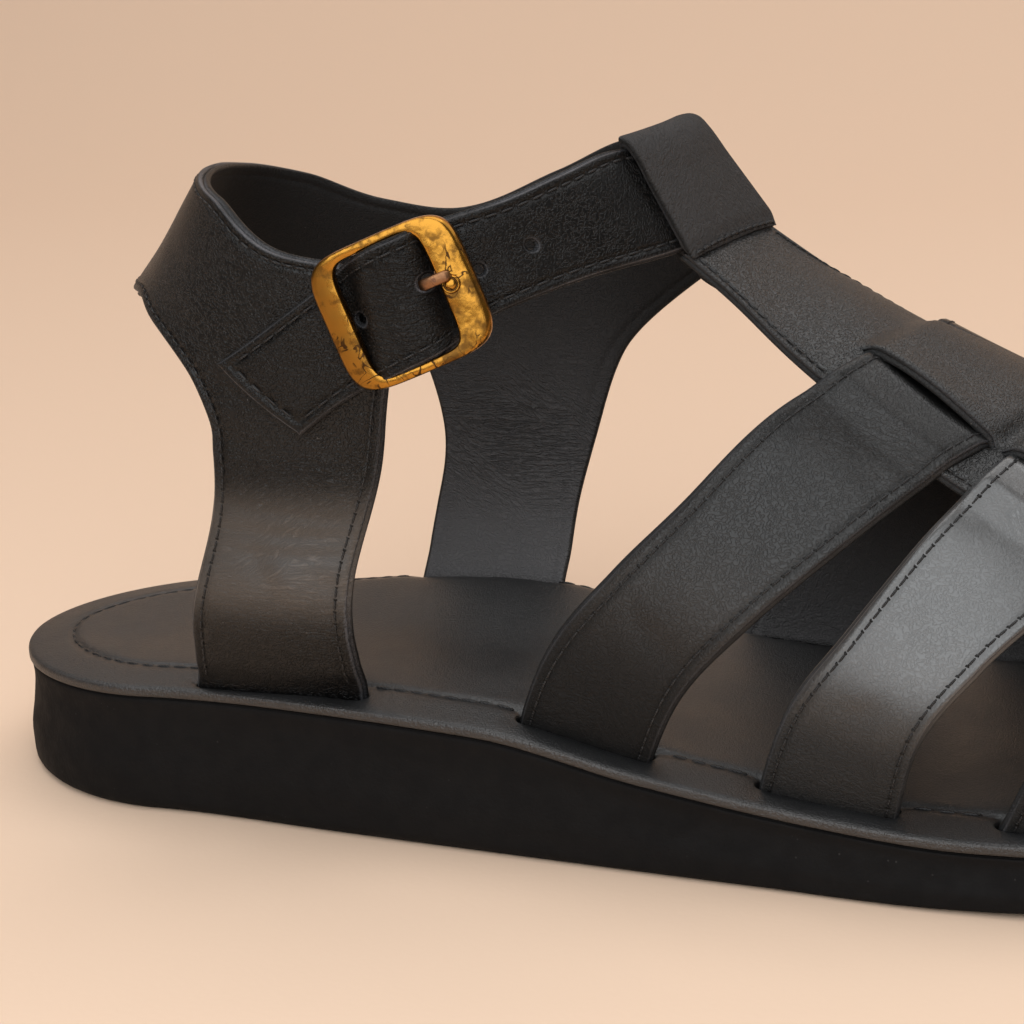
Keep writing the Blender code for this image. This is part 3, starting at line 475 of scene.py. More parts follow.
def stitches(name, lines, place, face, pitch=2.2, length=1.95, radius=0.21, rise=0.15, pit=0.48, keep=None):
    """Thread along pattern lines: each stitch a six-sided capsule whose middle line is a shallow arch, with
    both ends sunk in the leather's face, and where two stitches meet a low eight-sided dome coloured near
    black, painted shade for the needle hole."""
    t = np.array([0, 0.12, 0.35, 0.65, 0.88, 1.0])
    thin = np.array([0.25, 0.85, 1.0, 1.0, 0.85, 0.25])[None, :, None, None]
    sunk = 0.1
    round_thread, round_pit = (np.linspace(0, 2 * np.pi, n, endpoint=False)[:, None] for n in (6, 8))
    rings, pits = [], []
    for line in lines:
        far = lengths(place(line, face))
        at = np.linspace(0, far[-1], max(2, int(round(far[-1] / 0.25)) + 1))
        fine = np.stack([np.interp(at, far, line[:, k]) for k in (0, 1)], 1)
        laid, above = place(fine, face), place(fine, face + 0.2)
        far = lengths(laid)
        count = max(1, int(round(far[-1] / pitch)))
        centre = (np.arange(count) + 0.5) * far[-1] / count
        at = centre[:, None] + (t - 0.5) * length
        held = [np.stack([np.interp(at, far, p[:, k]) for k in range(3)], -1) for p in (laid, above)]
        up = held[1] - held[0]
        up /= np.linalg.norm(up, axis=-1, keepdims=True)
        if keep is not None:
            kept = keep(held[0][..., 2])
            held, up = [h[kept] for h in held], up[kept]
        middle = held[0] + up * (rise * np.sin(np.pi * t) ** 0.7 - sunk)[None, :, None]
        along = np.gradient(middle, axis=1)
        along /= np.linalg.norm(along, axis=-1, keepdims=True)
        across = np.cross(along, up)
        circle = across[:, :, None] * np.cos(round_thread) + up[:, :, None] * np.sin(round_thread) * 0.8
        rings.append(middle[:, :, None] + radius * thin * circle)
        along, across, up = along[:, -1, None], across[:, -1, None], up[:, -1, None]
        # Where two stitches meet, a dome coloured near black stands in as painted shade for the needle hole.
        spot = middle[:, -1, None] + along * (pitch - length) / 2 + up * sunk
        edge = pit * (along * np.cos(round_pit) + across * np.sin(round_pit))
        pits.append(np.concatenate([spot + edge - up * sunk, spot + 0.7 * edge + up * 0.05], 1))
    rings, pits = np.concatenate(rings), np.concatenate(pits)
    count = len(rings)
    faces = []
    for first, rows, sides in ((0, 6, 6), (count * 36, 2, 8)):
        start = (first + np.arange(count) * rows * sides)[:, None, None]
        faces.append((grid(rows, sides, around=True) + start).reshape(-1, 4))
        faces.append((caps(rows, sides) + start).reshape(-1, sides))
    points = np.concatenate([rings.reshape(-1, 3), pits.reshape(-1, 3)])
    make(name, points, faces, thread, "black_leather", pit=np.arange(len(points)) >= count * 36)


def group(name, inputs, outputs):
    """An empty shader group with these sockets, its tree, and its input node."""
    tree = bpy.data.node_groups.new(name, "ShaderNodeTree")
    for key, kind in inputs.items():
        tree.interface.new_socket(key, in_out="INPUT", socket_type="NodeSocket" + kind)
    for key, kind in outputs.items():
        tree.interface.new_socket(key, in_out="OUTPUT", socket_type="NodeSocket" + kind)
    return tree, tree.nodes.new("NodeGroupInput").outputs, tree.nodes.new("NodeGroupOutput").inputs


def use(tree, made, **ins):
    placed = tree.nodes.new("ShaderNodeGroup")
    placed.node_tree = made
    for key, value in ins.items():
        if isinstance(value, bpy.types.NodeSocket):
            tree.links.new(value, placed.inputs[key])
        else:
            placed.inputs[key].default_value = value
    return placed.outputs


def mark(tree, name):
    return add(tree, "Attribute", attribute_name=name, attribute_type="GEOMETRY").outputs["Fac"]


# Leather's own skin: small rounded pores broken up by coarser grain and creases,
# cloudy tone, and a rare mote of dust.
tree, ins, outs = group(
    "leather_grain",
    dict(Place="Vector", Pores="Float", Depth="Float"),
    dict(Height="Float", Cloud="Float", Dust="Float"),
)
pores = between_values(tree, cells(tree, ins["Place"], ins["Pores"]), 0.0, 0.55, 0.0, 1.0)
broken = noise(tree, ins["Place"], 900.0, 2.0, 0.6)
coarse = noise(tree, ins["Place"], 210.0, 2.0, 0.55)
creased = between_values(tree, swing(tree, noise(tree, ins["Place"], 1500.0, 1.0)), 0.0, 0.1, -1.1, 0.0)
grain = sums(tree, "MULTIPLY_ADD", pores, -0.25, sums(tree, "MULTIPLY_ADD", broken, 0.45, coarse))
tree.links.new(times(tree, plus(tree, grain, creased), ins["Depth"]), outs["Height"])
tree.links.new(noise(tree, ins["Place"], 62.0, 3.0, 0.6), outs["Cloud"])
motes = between_values(tree, cells(tree, ins["Place"], 420.0), 0.02, 0.06, 1.0, 0.0)
rare = between_values(tree, noise(tree, ins["Place"], 500.0, 1.0), 0.56, 0.62)
tree.links.new(times(tree, motes, rare), outs["Dust"])
leather_grain = tree

# A sewn line: the leather is drawn down along it, in a bell as wide as Width.
tree, ins, outs = group(
    "sewn_line", dict(Seam="Float", Inset="Float", Width="Float"), dict(Height="Float", Line="Float")
)
off = sums(tree, "DIVIDE", sums(tree, "SUBTRACT", ins["Seam"], ins["Inset"]), ins["Width"])
line = sums(tree, "POWER", 2.718, times(tree, times(tree, off, off), -1.0))
tree.links.new(times(tree, line, -0.36), outs["Height"])
tree.links.new(line, outs["Line"])
sewn_line = tree

# A cut edge: where the face turns over it, where the plies meet, and fibres across it.
tree, ins, outs = group(
    "cut_edge", dict(Place="Vector", Ply="Float"), dict(Edge="Float", Joint="Float", Height="Float")
)
turned = between_values(tree, sums(tree, "ABSOLUTE", ins["Ply"]), 0.72, 0.97, 1.0, 0.0)
joint = sums(tree, "ABSOLUTE", sums(tree, "SUBTRACT", ins["Ply"], 0.04))
tree.links.new(turned, outs["Edge"])
tree.links.new(between_values(tree, joint, 0.02, 0.2, 1.0, 0.0), outs["Joint"])
fibres = times(tree, noise(tree, ins["Place"], 1300.0, 2.0, 0.7), turned)
tree.links.new(times(tree, fibres, 0.16), outs["Height"])
cut_edge = tree

board, tree, shader, place = material("footbed_leather", Specular_IOR_Level=0.75)
grain = use(tree, leather_grain, Place=place, Pores=1250.0, Depth=0.035)
sewn = use(tree, sewn_line, Seam=mark(tree, "seam"), Inset=CROWN_WIDTH - FOOTBED_INSET, Width=0.85)
cut = use(tree, cut_edge, Place=place, Ply=mark(tree, "ply"))
skin = blend(tree, grain["Cloud"], BOARD, BOARD_PALE)
skin = blend(tree, times(tree, sewn["Line"], 0.6), skin, BOARD_SEWN)
scratched = add(tree, "Mapping", {"Vector": place, "Scale": (150.0, 150.0, 2600.0)}).outputs[0]
scratch = between_values(tree, noise(tree, scratched, 1.0, 4.0, 0.7), 0.35, 0.7)
edge_tone = blend(tree, scratch, BOARD_EDGE, BOARD_EDGE_DARK)
# Painted shade: deep in the slots, away from the outline, the cut edge is near black.
in_slot = between_values(tree, mark(tree, "seam"), 1.4, 2.6)
edge_tone = blend(tree, in_slot, edge_tone, SLOT_WALL_SHADE)
fine = sums(tree, "MULTIPLY_ADD", noise(tree, place, 2600.0, 2.0), 0.03, cut["Height"])
finish(
    tree,
    shader,
    plus(tree, plus(tree, grain["Height"], sewn["Height"]), fine),
    Base_Color=blend(tree, cut["Edge"], skin, edge_tone),
    Roughness=between_values(tree, grain["Cloud"], 0.3, 0.7, 0.4, 0.5),
)

# The last colour is painted shade: near black on the domes that stand for needle holes.
THREAD, THREAD_PALE, NEEDLE_HOLE_SHADE = (0.007, 0.007, 0.0072), (0.034, 0.033, 0.034), (0.0008, 0.0008, 0.0008)
thread, tree, shader, place = material("waxed_thread", Roughness=0.42, Specular_IOR_Level=0.3)
twist = {"Vector": place, "Scale": 1100.0, "Distortion": 2.0}
twist = add(tree, "TexWave", twist, bands_direction="DIAGONAL").outputs["Fac"]
spun = blend(tree, twist, THREAD, THREAD_PALE)
finish(tree, shader, times(tree, twist, 0.05), Base_Color=blend(tree, mark(tree, "pit"), spun, NEEDLE_HOLE_SHADE))

# Ankle of the last, on which the quarter and the ankle strap lie: level rings.
ANKLE = dict(
    height=(14, 20, 26, 32, 40, 50, 70, 90, 100, 113, 124),
    back=(9, 9, 9, 9, 9, 10, 16, 31.5, 40.0, 49, 57),
    front=(158, 158, 158, 158, 157, 155, 150, 142.5, 137.5, 130.5, 124.5),
    lateral=(29, 30, 31.5, 35, 37.5, 38.5, 38.5, 38, 37.5, 37, 36.5),
    medial=(19, 20, 21.5, 25.5, 28.5, 29.5, 30, 29.5, 28.5, 27, 26),
)
RING_SQUARENESS = 2.3
FRONT_SHIFT = 12.0  # the ring's front leans to the medial side
FRONT_SKEW = 0.25  # and reaches further forward there, less so near the collar

# Instep of the last, on which the spine and the cross straps lie: upright sections.
INSTEP = dict(
    station=(95, 110, 131, 140, 155, 172, 190, 210, 232, 250),
    lateral=(28.5, 29.9, 31.5, 32.3, 33.5, 35.0, 35.8, 34.0, 30.0, 24.0),
    medial=(23.5, 24.0, 28.5, 31.0, 33.5, 36.0, 37.0, 37.0, 35.5, 31.0),
    slot=(23, 21, 16.8, 15.2, 13, 11.6, 11.2, 12.3, 15.5, 19.5),
    ridge_side=(10, 10.5, 11, 11, 10.5, 9.5, 8.5, 7.5, 6.5, 6.5),
    ridge=(130, 122, 107, 101.4, 90.9, 81.2, 72.3, 63.2, 53.8, 47),
)
SIDE_BULGE = 5.0  # straps swell outwards above their slots
GIRTH_MM = 78.0  # pattern length from the ridge, girth 0, to a slot, girth -1 or 1


def ankle(angle, height):
    """The ankle at an angle (0 at the back, minus is lateral) and height: a superellipse
    with its own reach to the back, front, lateral and medial sides."""
    turn = np.radians(angle)
    back, front, lateral, medial = (
        smooth(ANKLE, "height", side, height) for side in ("back", "front", "lateral", "medial")
    )
    half, middle = (front - back) / 2, (front + back) / 2
    wrapped = np.mod(turn + np.pi, 2 * np.pi) - np.pi
    wide = np.where(wrapped < 0, lateral, medial)
    c, s = np.cos(turn), np.sin(turn)
    r = (np.abs(c) ** RING_SQUARENESS + np.abs(s) ** RING_SQUARENESS) ** (-1 / RING_SQUARENESS)
    forward = (1 - c * r) / 2
    y = wide * r * s + FRONT_SHIFT * forward**2
    kept = 1 - ramp(height, 88, 104)
    skewed = np.where(y > FRONT_SHIFT, FRONT_SHIFT + (y - FRONT_SHIFT) * kept, y)
    x = middle - half * r * c + FRONT_SKEW * forward**3 * skewed
    return np.stack(np.broadcast_arrays(x, y, height), -1)


def instep(station, girth):
    """The instep at a station and girth: a quarter ellipse each side of the ridge,
    swollen outwards near its foot, then straight down past the slot."""
    lateral, medial, slot, side, ridge = (
        smooth(INSTEP, "station", key, station)
        for key in ("lateral", "medial", "slot", "ridge_side", "ridge")
    )
    end = np.where(girth < 0, -lateral, medial)
    turn = np.clip(np.abs(girth), 0, 1) * np.pi / 2
    up = np.cos(turn)
    beyond = np.clip(np.abs(girth) - 1, 0, 1) * 2 * GIRTH_MM
    y = side + (end - side) * np.sin(turn)
    y = y + np.sign(girth) * SIDE_BULGE * np.clip(np.sin(np.pi * up**0.6), 0, 1)
    z = slot + (ridge - slot) * up - beyond
    return np.stack(np.broadcast_arrays(station, y, z), -1)


def lifted(surface, a, b, lift, step_a, step_b, sign):
    """Points of a surface moved out along its normal, the cross product of its two tangents."""
    a, b, lift = (np.asarray(v, float) for v in np.broadcast_arrays(a, b, lift))
    normal = np.cross(
        surface(a + step_a, b) - surface(a - step_a, b),
        surface(a, b + step_b) - surface(a, b - step_b),
    )
    normal /= np.linalg.norm(normal, axis=-1, keepdims=True) + TINY
    return surface(a, b) + sign * normal * lift[..., None]


def on_ankle(angle, height, lift=0.0):
    return lifted(ankle, angle, height, lift, 0.3, 0.2, -1)


def on_instep(station, girth, lift=0.0):
    return lifted(instep, station, girth, lift, 0.3, 0.004, 1)


def slot_ring(line):
    """Outline of a slot: its middle line with half circles at both ends."""
    left = left_of(np.gradient(line, axis=0))
    along = np.stack([left[:, 1], -left[:, 0]], 1)
    turn = np.linspace(np.pi / 2, -np.pi / 2, 8)[1:-1, None]
    ends = [
        line[k] + sign * SLOT_HALF * (np.cos(turn) * along[k] + np.sin(turn) * left[k])
        for k, sign in ((-1, 1), (0, -1))
    ]
    return np.concatenate([line + left * SLOT_HALF, ends[0], (line - left * SLOT_HALF)[::-1], ends[1]])


slots = [slot_ring(ankle(np.linspace(*ends, 22), SLOT_HEIGHT)[:, :2]) for ends in ANKLE_SLOTS]
for girth, spans in CROSS_SLOTS.items():
    slots += [slot_ring(instep(np.linspace(*ends, 24), girth)[:, :2]) for ends in spans]


def on_footbed(points, lift, away=None):
    """A point of the footbed's plan: the skin's height less half the board, plus the
    lift, drawn down beside the slots and along the sewn line."""
    inside = flat_distance(points, outline(FOOTBED_INSET, 240))
    skin = top_of_sole(points[:, 0]) + footbed_rise(points[:, 0], points[:, 1], inside)
    if away is not None:
        skin = skin - 0.45 * bell(away, 0, 2.2) * (inside > 3)
        skin = skin - 0.32 * bell(inside, CROWN_WIDTH - FOOTBED_INSET, 0.9)
    return np.column_stack([points, skin - FOOTBED_THICK / 2 + 0.2 + lift])


panel(
    "footbed_board",
    [outline(FOOTBED_INSET, 520)] + slots,
    (1, 1),
    1.5,
    on_footbed,
    FOOTBED_THICK - 0.4,
    board,
    ["footbed"],
    edge=ONE_PLY,
    slot="footbed_leather",
)
# The sewn line runs round inside the crown and stops at the slots.
sewn = outline(CROWN_WIDTH, 520)
sewn = np.concatenate([sewn, sewn[:1]])
near_slot = np.min([flat_distance(sewn, ring) for ring in slots], 0) < 1.6
stops = np.flatnonzero(near_slot | within(sewn, slots))
stitches(
    "footbed_stitches",
    [part[1:] for part in np.split(sewn, stops) if len(part) > 4],
    lambda points, lift: on_footbed(points, lift) - (0, 0, 0.3),
    FOOTBED_THICK / 2 - 0.2,
    pitch=3.3,
    length=2.9,
    radius=0.3,
    rise=0.16,
    pit=0.42,
)

# ---------------------------------------------------------------- quarter
# One piece of black leather, two plies sewn at every edge: round the heel as a
# counter, down to the footbed in a leg on each side, and open between them.
LEATHER = 2.4
ANKLE_SCALE = (0.75, 1.0)  # pattern millimetres of a degree and of a millimetre of height
SEAM_INSET = 1.55
LEG_SWELL, LEG_SWELL_AT, LEG_SWELL_SPREAD = 1.9, 42.0, 11.0
# Each run is one edge of the leather: angle round the ankle, and height.
QUARTER_COLLAR = dict(
    angle=(
        -86.8, -89.3, -95.3, -95.0, -87, -69, -44, -18, 20,
        43, 65, 80, 103.5, 120, 138, 152, 162, 183,
    ),
    height=(
        19.5, 45, 74, 90, 100.8, 103.8, 111.6, 113.4, 111.2,
        107.9, 101.7, 99.4, 106.1, 111.4, 114.2, 113.9, 112.7, 111.4,
    ),
)
QUARTER_MEDIAL_FRONT = dict(
    angle=(183, 168, 148, 126.3, 112.5, 107.2, 102.2, 101.5),
    height=(101.0, 99.8, 95.0, 85.2, 71.8, 56, 34, 19.5),
)
QUARTER_REAR = dict(
    angle=(80.5, 81.3, 84.1, 81.7, 70, 48, 15, -15, -31, -43, -60.5, -67.8, -69, -65.0, -60.0),
    height=(19.5, 33.6, 53.6, 66.7, 80, 87.8, 91.5, 91.5, 92.6, 90, 81.7, 72, 62, 39.5, 19.5),
)
# Creases: angle and height of both ends, depth, half width.
CREASE_BOW = 0.9
QUARTER_CREASES = (
    (-66, 62.5, -99, 58.6, 0.12, 1.0),
    (-67, 57.6, -97, 56.6, 0.14, 1.0),
    (-69, 53.4, -98, 54.2, 0.10, 0.9),
    (-75.5, 56.0, -83.0, 39.5, 0.26, 1.2),
    (-78.5, 53.0, -86.0, 39.0, -0.16, 1.6),
    (-81.0, 46.0, -87.5, 36.5, 0.26, 0.9),
    (-79.5, 43.5, -84.0, 34.5, 0.24, 0.9),
    (-76.5, 47.0, -79.5, 35.5, 0.2, 1.0),
    (-84, 50.0, -93, 46.5, 0.22, 1.2),
    (-62, 78.0, -78, 70.0, 0.22, 1.6),
    (-58, 84.0, -82, 79.0, 0.2, 2.2),
    (-40, 96.0, -62, 88.0, 0.25, 2.6),
    (-30, 104.0, -52, 98.0, 0.18, 2.4),
    (-5, 98.0, -22, 101.0, 0.2, 2.2),
    (84, 62.0, 106, 58.5, 0.3, 1.2),
    (85, 58.0, 104, 56.0, 0.3, 1.2),
    (84, 46.0, 100, 52.0, 0.2, 1.4),
    (88, 40.0, 99, 34.0, 0.2, 1.4),
    (96, 92.0, 118, 99.0, 0.22, 2.2),
)


def pressed(points, creases, scale):
    """Lift from creases: each a bell across its line, which bows slightly, deepest in
    the middle of its length and dying out at both ends as a sine. Minus is a ridge."""
    total = np.zeros(len(points))
    for a0, b0, a1, b1, depth, width in creases:
        start, side = np.array([a0, b0]) * scale, np.array([a1 - a0, b1 - b0]) * scale
        t = ((points * scale - start) @ side) / (side @ side)
        middle = np.sin(np.pi * np.clip(t, 0, 1))
        square = np.array([-side[1], side[0]]) / np.sqrt(side @ side)
        gap = np.abs((points * scale - start - t[:, None] * side) @ square - CREASE_BOW * middle)
        total -= depth * bell(gap, 0, width) * middle**1.2
    return total


def run(a, b, spacing, scale):
    """Points along one pattern edge, smooth through the places a and b, evenly spaced."""
    rows = np.stack([a, b], 1).astype(float)
    far = lengths(rows * scale)
    fine = np.linspace(0, far[-1], 1200)
    at = np.linspace(0, far[-1], max(2, int(round(far[-1] / spacing)) + 1))
    return np.stack([np.interp(at, fine, line) for line in through(rows, far, fine).T], 1)


def through(rows, far, at):
    """The smooth line through rows that lie far along it, read at these lengths."""
    knots = dict(far=far, a=rows[:, 0], b=rows[:, 1])
    return np.stack([smooth(knots, "far", "a", at), smooth(knots, "far", "b", at)], 1)


def straight(start, end, spacing, scale):
    """Points along the straight cut from one edge's end to the next edge's start."""
    return run((start[0], end[0]), (start[1], end[1]), spacing, scale)


def closed(edges, spacing, scale):
    """One closed ring from edges laid end to end, with a straight cut across each gap."""
    parts = []
    for edge, after in zip(edges, [*edges[1:], edges[0]]):
        parts.append(edge)
        if np.linalg.norm((after[0] - edge[-1]) * scale) > 0.01:
            parts.append(straight(edge[-1], after[0], spacing, scale))
    ring = np.concatenate(parts)
    return ring[np.linalg.norm(ring - np.roll(ring, 1, 0), axis=1) > 1e-6]


def beside(edges, inset, scale):
    """Sewing lines: cut edges moved in by inset, to their left if it is over 0, and
    shortened as much at both ends."""
    lines = []
    for edge in edges:
        flat = edge * scale
        moved = flat + left_of(np.gradient(flat, axis=0)) * inset
        far = lengths(moved)
        lines.append(moved[(far >= abs(inset)) & (far <= far[-1] - abs(inset))] / scale)
    return lines


QUARTER_RUNS = [
    run(table["angle"], table["height"], 1.1, ANKLE_SCALE)
    for table in (QUARTER_COLLAR, QUARTER_MEDIAL_FRONT, QUARTER_REAR)
]


def leg_swell(points):
    """1 across the lateral leg just above the footbed, falling off up and down it."""
    return bell(points[:, 0], -80, 30, 4) * bell(points[:, 1], LEG_SWELL_AT, LEG_SWELL_SPREAD)


def on_quarter(points, lift, away=None):
    """The quarter on the ankle: creased, and slightly puffed between its sewn lines."""
    lift = lift + pressed(points, QUARTER_CREASES, ANKLE_SCALE) + LEG_SWELL * leg_swell(points)
    if away is not None:
        lift = lift + 0.12 * ramp(away, SEAM_INSET, SEAM_INSET + 6)
    return on_ankle(points[:, 0], points[:, 1], lift)


def flexed(points):
    """Where the legs wrinkle as the foot bends: two soft patches above the footbed."""
    near = bell(points[:, 0], -83, 15) * bell(points[:, 1], 54, 11)
    far = bell(points[:, 0], 95, 14) * bell(points[:, 1], 54, 12)
    return np.maximum(near, far)


def rubbed(points):
    """Where the black is brown-grey: on the swell of the lateral leg as a painted highlight, at the heel, and
    low down on the medial leg, brown-grey outside and its lining painted paler as painted light."""
    # Painted highlight on the swell of the lateral leg.
    near = 0.78 * bell(points[:, 0], -84, 13) * bell(points[:, 1], 50, 7.5)
    heel = 0.5 * bell(points[:, 0], -20, 24) * bell(points[:, 1], 95, 13)
    # Painted light on the lining low inside the medial leg, brown-grey outside.
    inside = 0.85 * bell(points[:, 0], 93, 22, 4) * bell(points[:, 1], 34, 34)
    return near + heel + inside


def leg_sheen(points):
    """Polished on the upper side of the leg's swell."""
    return bell(points[:, 0], -80, 30, 4) * bell(points[:, 1], 53, 10, 4)


INK, SOOT = (0.0027, 0.0026, 0.0027), (0.0056, 0.0053, 0.0053)
# The first is the brown-grey where marked, mostly a painted highlight.
BROWN_GREY_AND_HIGHLIGHT, SEWN = (0.060, 0.051, 0.045), (0.004, 0.004, 0.004)
# Cut edge: grey fibres, their paler grey partly a painted highlight; the lower ply's near black is painted
# shade.
FIBRE, FIBRE_AND_HIGHLIGHT = (0.036, 0.036, 0.039), (0.105, 0.105, 0.115)
UNDER_PLY_SHADE, GROOVE = (0.0035, 0.0034, 0.0035), (0.003, 0.003, 0.003)
# The lining's second colour is its paler grey where marked, low on the medial leg painted light.
LINING, LINING_PALE, DUST = (0.0085, 0.0080, 0.0082), (0.125, 0.121, 0.124), (0.16, 0.155, 0.15)


def black_leather(
    name,
    inset,
    gloss,
    shine,
    coat=0.0,
    polish_index=1.5,
    polish_rough=0.3,
    pale=1.0,
    matte=0.0,
):
    """The upper's leather: near black, brown-grey where it is marked, which on the lateral leg and above the
    cross straps' feet is a painted highlight;
    fine crossing wrinkles where it flexes; and a dull inside, paler grey where it is marked, which low on the
    medial leg is painted light.
    Its gloss is the roughness of the skin and shine its reflection. Where it is marked it is polished with a
    coat; away from there it can be matte instead.
    Its cut edges are grey, more the higher pale is: partly the fibres and partly a painted highlight, with
    painted shade on the lower ply."""
    made, tree, shader, place = material(
        name, Specular_IOR_Level=shine, Coat_Roughness=polish_rough, Coat_IOR=polish_index
    )
    grain = use(tree, leather_grain, Place=place, Pores=1500.0, Depth=0.1)
    sewn = use(tree, sewn_line, Seam=mark(tree, "seam"), Inset=inset, Width=0.5)
    ply = mark(tree, "ply")
    cut = use(tree, cut_edge, Place=place, Ply=ply)
    flex, rub = mark(tree, "flex"), mark(tree, "rub")
    pattern = add(tree, "UVMap", uv_map="pattern").outputs[0]
    folds = []
    for turned, size in ((0.0, (2.6, 0.8, 1.0)), (-0.9, (3.0, 0.75, 1.0))):
        laid = {"Vector": pattern, "Scale": size, "Rotation": (0.0, 0.0, turned)}
        laid = add(tree, "Mapping", laid, vector_type="TEXTURE").outputs[0]
        fold = noise(tree, laid, 1.0, 3.0, 0.55, 0.7)
        folds.append(between_values(tree, swing(tree, fold), 0.0, 0.14, 0.0, 1.0))
    crossed = between_values(tree, noise(tree, place, 75.0, 1.0), 0.5, 0.6)
    lines = mixed(tree, crossed, *folds)
    wrinkle = times(tree, times(tree, lines, flex), 0.55)
    tone = blend(tree, grain["Cloud"], INK, SOOT)
    # Painted highlight: the brown-grey where marked, broken by the wrinkle lines, stands in for a highlight
    # on the lateral leg and above the cross straps' feet.
    brown = times(tree, rub, between_values(tree, grain["Cloud"], 0.2, 0.8, 0.75, 1.0))
    creased = times(tree, sums(tree, "SUBTRACT", 1.0, lines), flex)
    brown = times(tree, brown, sums(tree, "MULTIPLY_ADD", creased, -1.05, 1.25))
    tone = blend(tree, brown, tone, BROWN_GREY_AND_HIGHLIGHT)
    tone = blend(tree, times(tree, sewn["Line"], 0.5), tone, SEWN)
    fibre, fibre_and_highlight = (tuple(pale * v for v in colour) for colour in (FIBRE, FIBRE_AND_HIGHLIGHT))
    # The edge's grey is partly the fibres and partly a painted highlight.
    edge = blend(tree, between_values(tree, grain["Cloud"], 0.3, 0.7), fibre, fibre_and_highlight)
    # Painted shade: the lower ply of the edge is near black.
    edge = blend(tree, between_values(tree, ply, -0.06, -0.16), edge, UNDER_PLY_SHADE)
    edge = blend(tree, cut["Joint"], edge, GROOVE)
    tone = blend(tree, cut["Edge"], tone, edge)
    lining = between_values(tree, ply, -0.85, -0.97)
    # The lining is paler grey where marked; low on the medial leg this is painted light.
    suede = blend(tree, sums(tree, "MINIMUM", rub, 1.0), LINING, LINING_PALE)
    tone = blend(tree, lining, tone, suede)
    dull = between_values(tree, grain["Cloud"], 0.3, 0.7, gloss, gloss + 0.08)
    if matte:
        dull = mixed(tree, mark(tree, "sheen"), matte, dull)
    dull = mixed(tree, cut["Edge"], dull, 0.46 if pale == 1 else 0.8)
    tone = blend(tree, times(tree, grain["Dust"], 0.7), tone, DUST)
    height = plus(tree, plus(tree, grain["Height"], wrinkle), plus(tree, sewn["Height"], cut["Height"]))
    outside = sums(tree, "SUBTRACT", 1.0, lining)
    polish = times(tree, times(tree, mark(tree, "sheen"), coat), outside)
    dull = mixed(tree, lining, dull, 0.75)
    finish(tree, shader, height, Base_Color=tone, Roughness=dull, Coat_Weight=polish)
    return made


quarter_leather = black_leather("quarter_leather", SEAM_INSET, 0.33, 0.34, 0.95, 1.8, 0.41)
panel(
    "quarter_leather",
    [closed(QUARTER_RUNS, 1.1, ANKLE_SCALE)],
    ANKLE_SCALE,
    0.95,
    on_quarter,
    LEATHER,
    quarter_leather,
    ["quarter"],
    flex=flexed,
    rub=rubbed,
    sheen=leg_sheen,
)
sewing = beside(QUARTER_RUNS, -SEAM_INSET, ANKLE_SCALE)
stitches("quarter_stitches", sewing, on_quarter, LEATHER / 2, keep=lambda height: height.min(1) > 26.0)

# ---------------------------------------------------------------- ankle strap
# A narrower strap of the same leather, two thinner plies: out of the spine's
# loop, through the buckle over its bar, and on to a slanting cut tip.
STRAP_LEATHER, STRAP_SEAM = 2.0, 1.85
STRAP_UPPER = dict(
    angle=(-173.0, -162, -147.6, -131.7, -118, -105.5, -93, -80.5, -65.4),
    height=(115.3, 115.6, 116.0, 113.7, 111.0, 109.0, 105.3, 98.3, 85.2),
)
STRAP_LOWER = dict(
    angle=(-83.0, -92.6, -101.5, -110.6, -132.7, -151.3, -174.5),
    height=(73.9, 83.2, 89.0, 92.5, 97.2, 98.6, 101.0),
)
# How far the strap stands off the last, along it from the buckle's bar.
STRAP_LIFT = dict(
    along=(-40, -8.4, -6.9, -5.3, -3.2, 1.4, 4.9, 7.0, 8.8, 11.0, 19, 31, 49, 70),
    lift=(2.6, 2.6, 3.6, 6.0, 7.8, 8.5, 7.9, 5.7, 3.1, 2.6, 2.0, 1.2, 0.2, 0.0),
)
BUCKLE_ANGLE, BUCKLE_HEIGHT, BUCKLE_LEAN = -95.9, 96.0, np.radians(21.0)
PRONG_HOLE = (6.6, 1.4)  # along and across the strap from the buckle's middle
HOLES = ((-6.2, 0.0), PRONG_HOLE, (15.5, -1.2), (26.4, -2.3))
HOLE_RADIUS = 0.68
STRAP_CREASES = (
    (-103, 92, -105, 106, 0.3, 1.1),
    (-112, 94, -113, 106, 0.22, 1.5),
    (-124, 96, -126, 108, 0.16, 2.0),
    (-88, 84, -91, 101, 0.22, 1.3),
    (-82, 80, -84, 94, 0.16, 1.6),
)


def strap_place(points):
    """How far along the strap, and across it, pattern points lie from the buckle's middle."""
    back, up = BUCKLE_ANGLE - points[:, 0], points[:, 1] - BUCKLE_HEIGHT
    c, s = np.cos(BUCKLE_LEAN), np.sin(BUCKLE_LEAN)
    return back * c + up * s, up * c - back * s


def on_strap(points, lift, away=None):
    """The strap on the ankle: lifted over the buckle's bar, creased, puffed between
    its two sewn edges, and spread to the window's width where it bends over the bar."""
    along, across = strap_place(points)
    lift = lift + smooth(STRAP_LIFT, "along", "lift", along) + pressed(points, STRAP_CREASES, ANKLE_SCALE)
    spread = np.where(across > 0, 1.1 - 0.05 * along, 1.7 + 0.07 * along)
    spread = spread * bell(along, 0, 11.5, 4) * across / 9.5
    points = points + spread[:, None] * (np.sin(BUCKLE_LEAN), np.cos(BUCKLE_LEAN))
    if away is not None:
        lift = lift + 0.15 * ramp(away, STRAP_SEAM, STRAP_SEAM + 4)
    return on_ankle(points[:, 0], points[:, 1], lift)


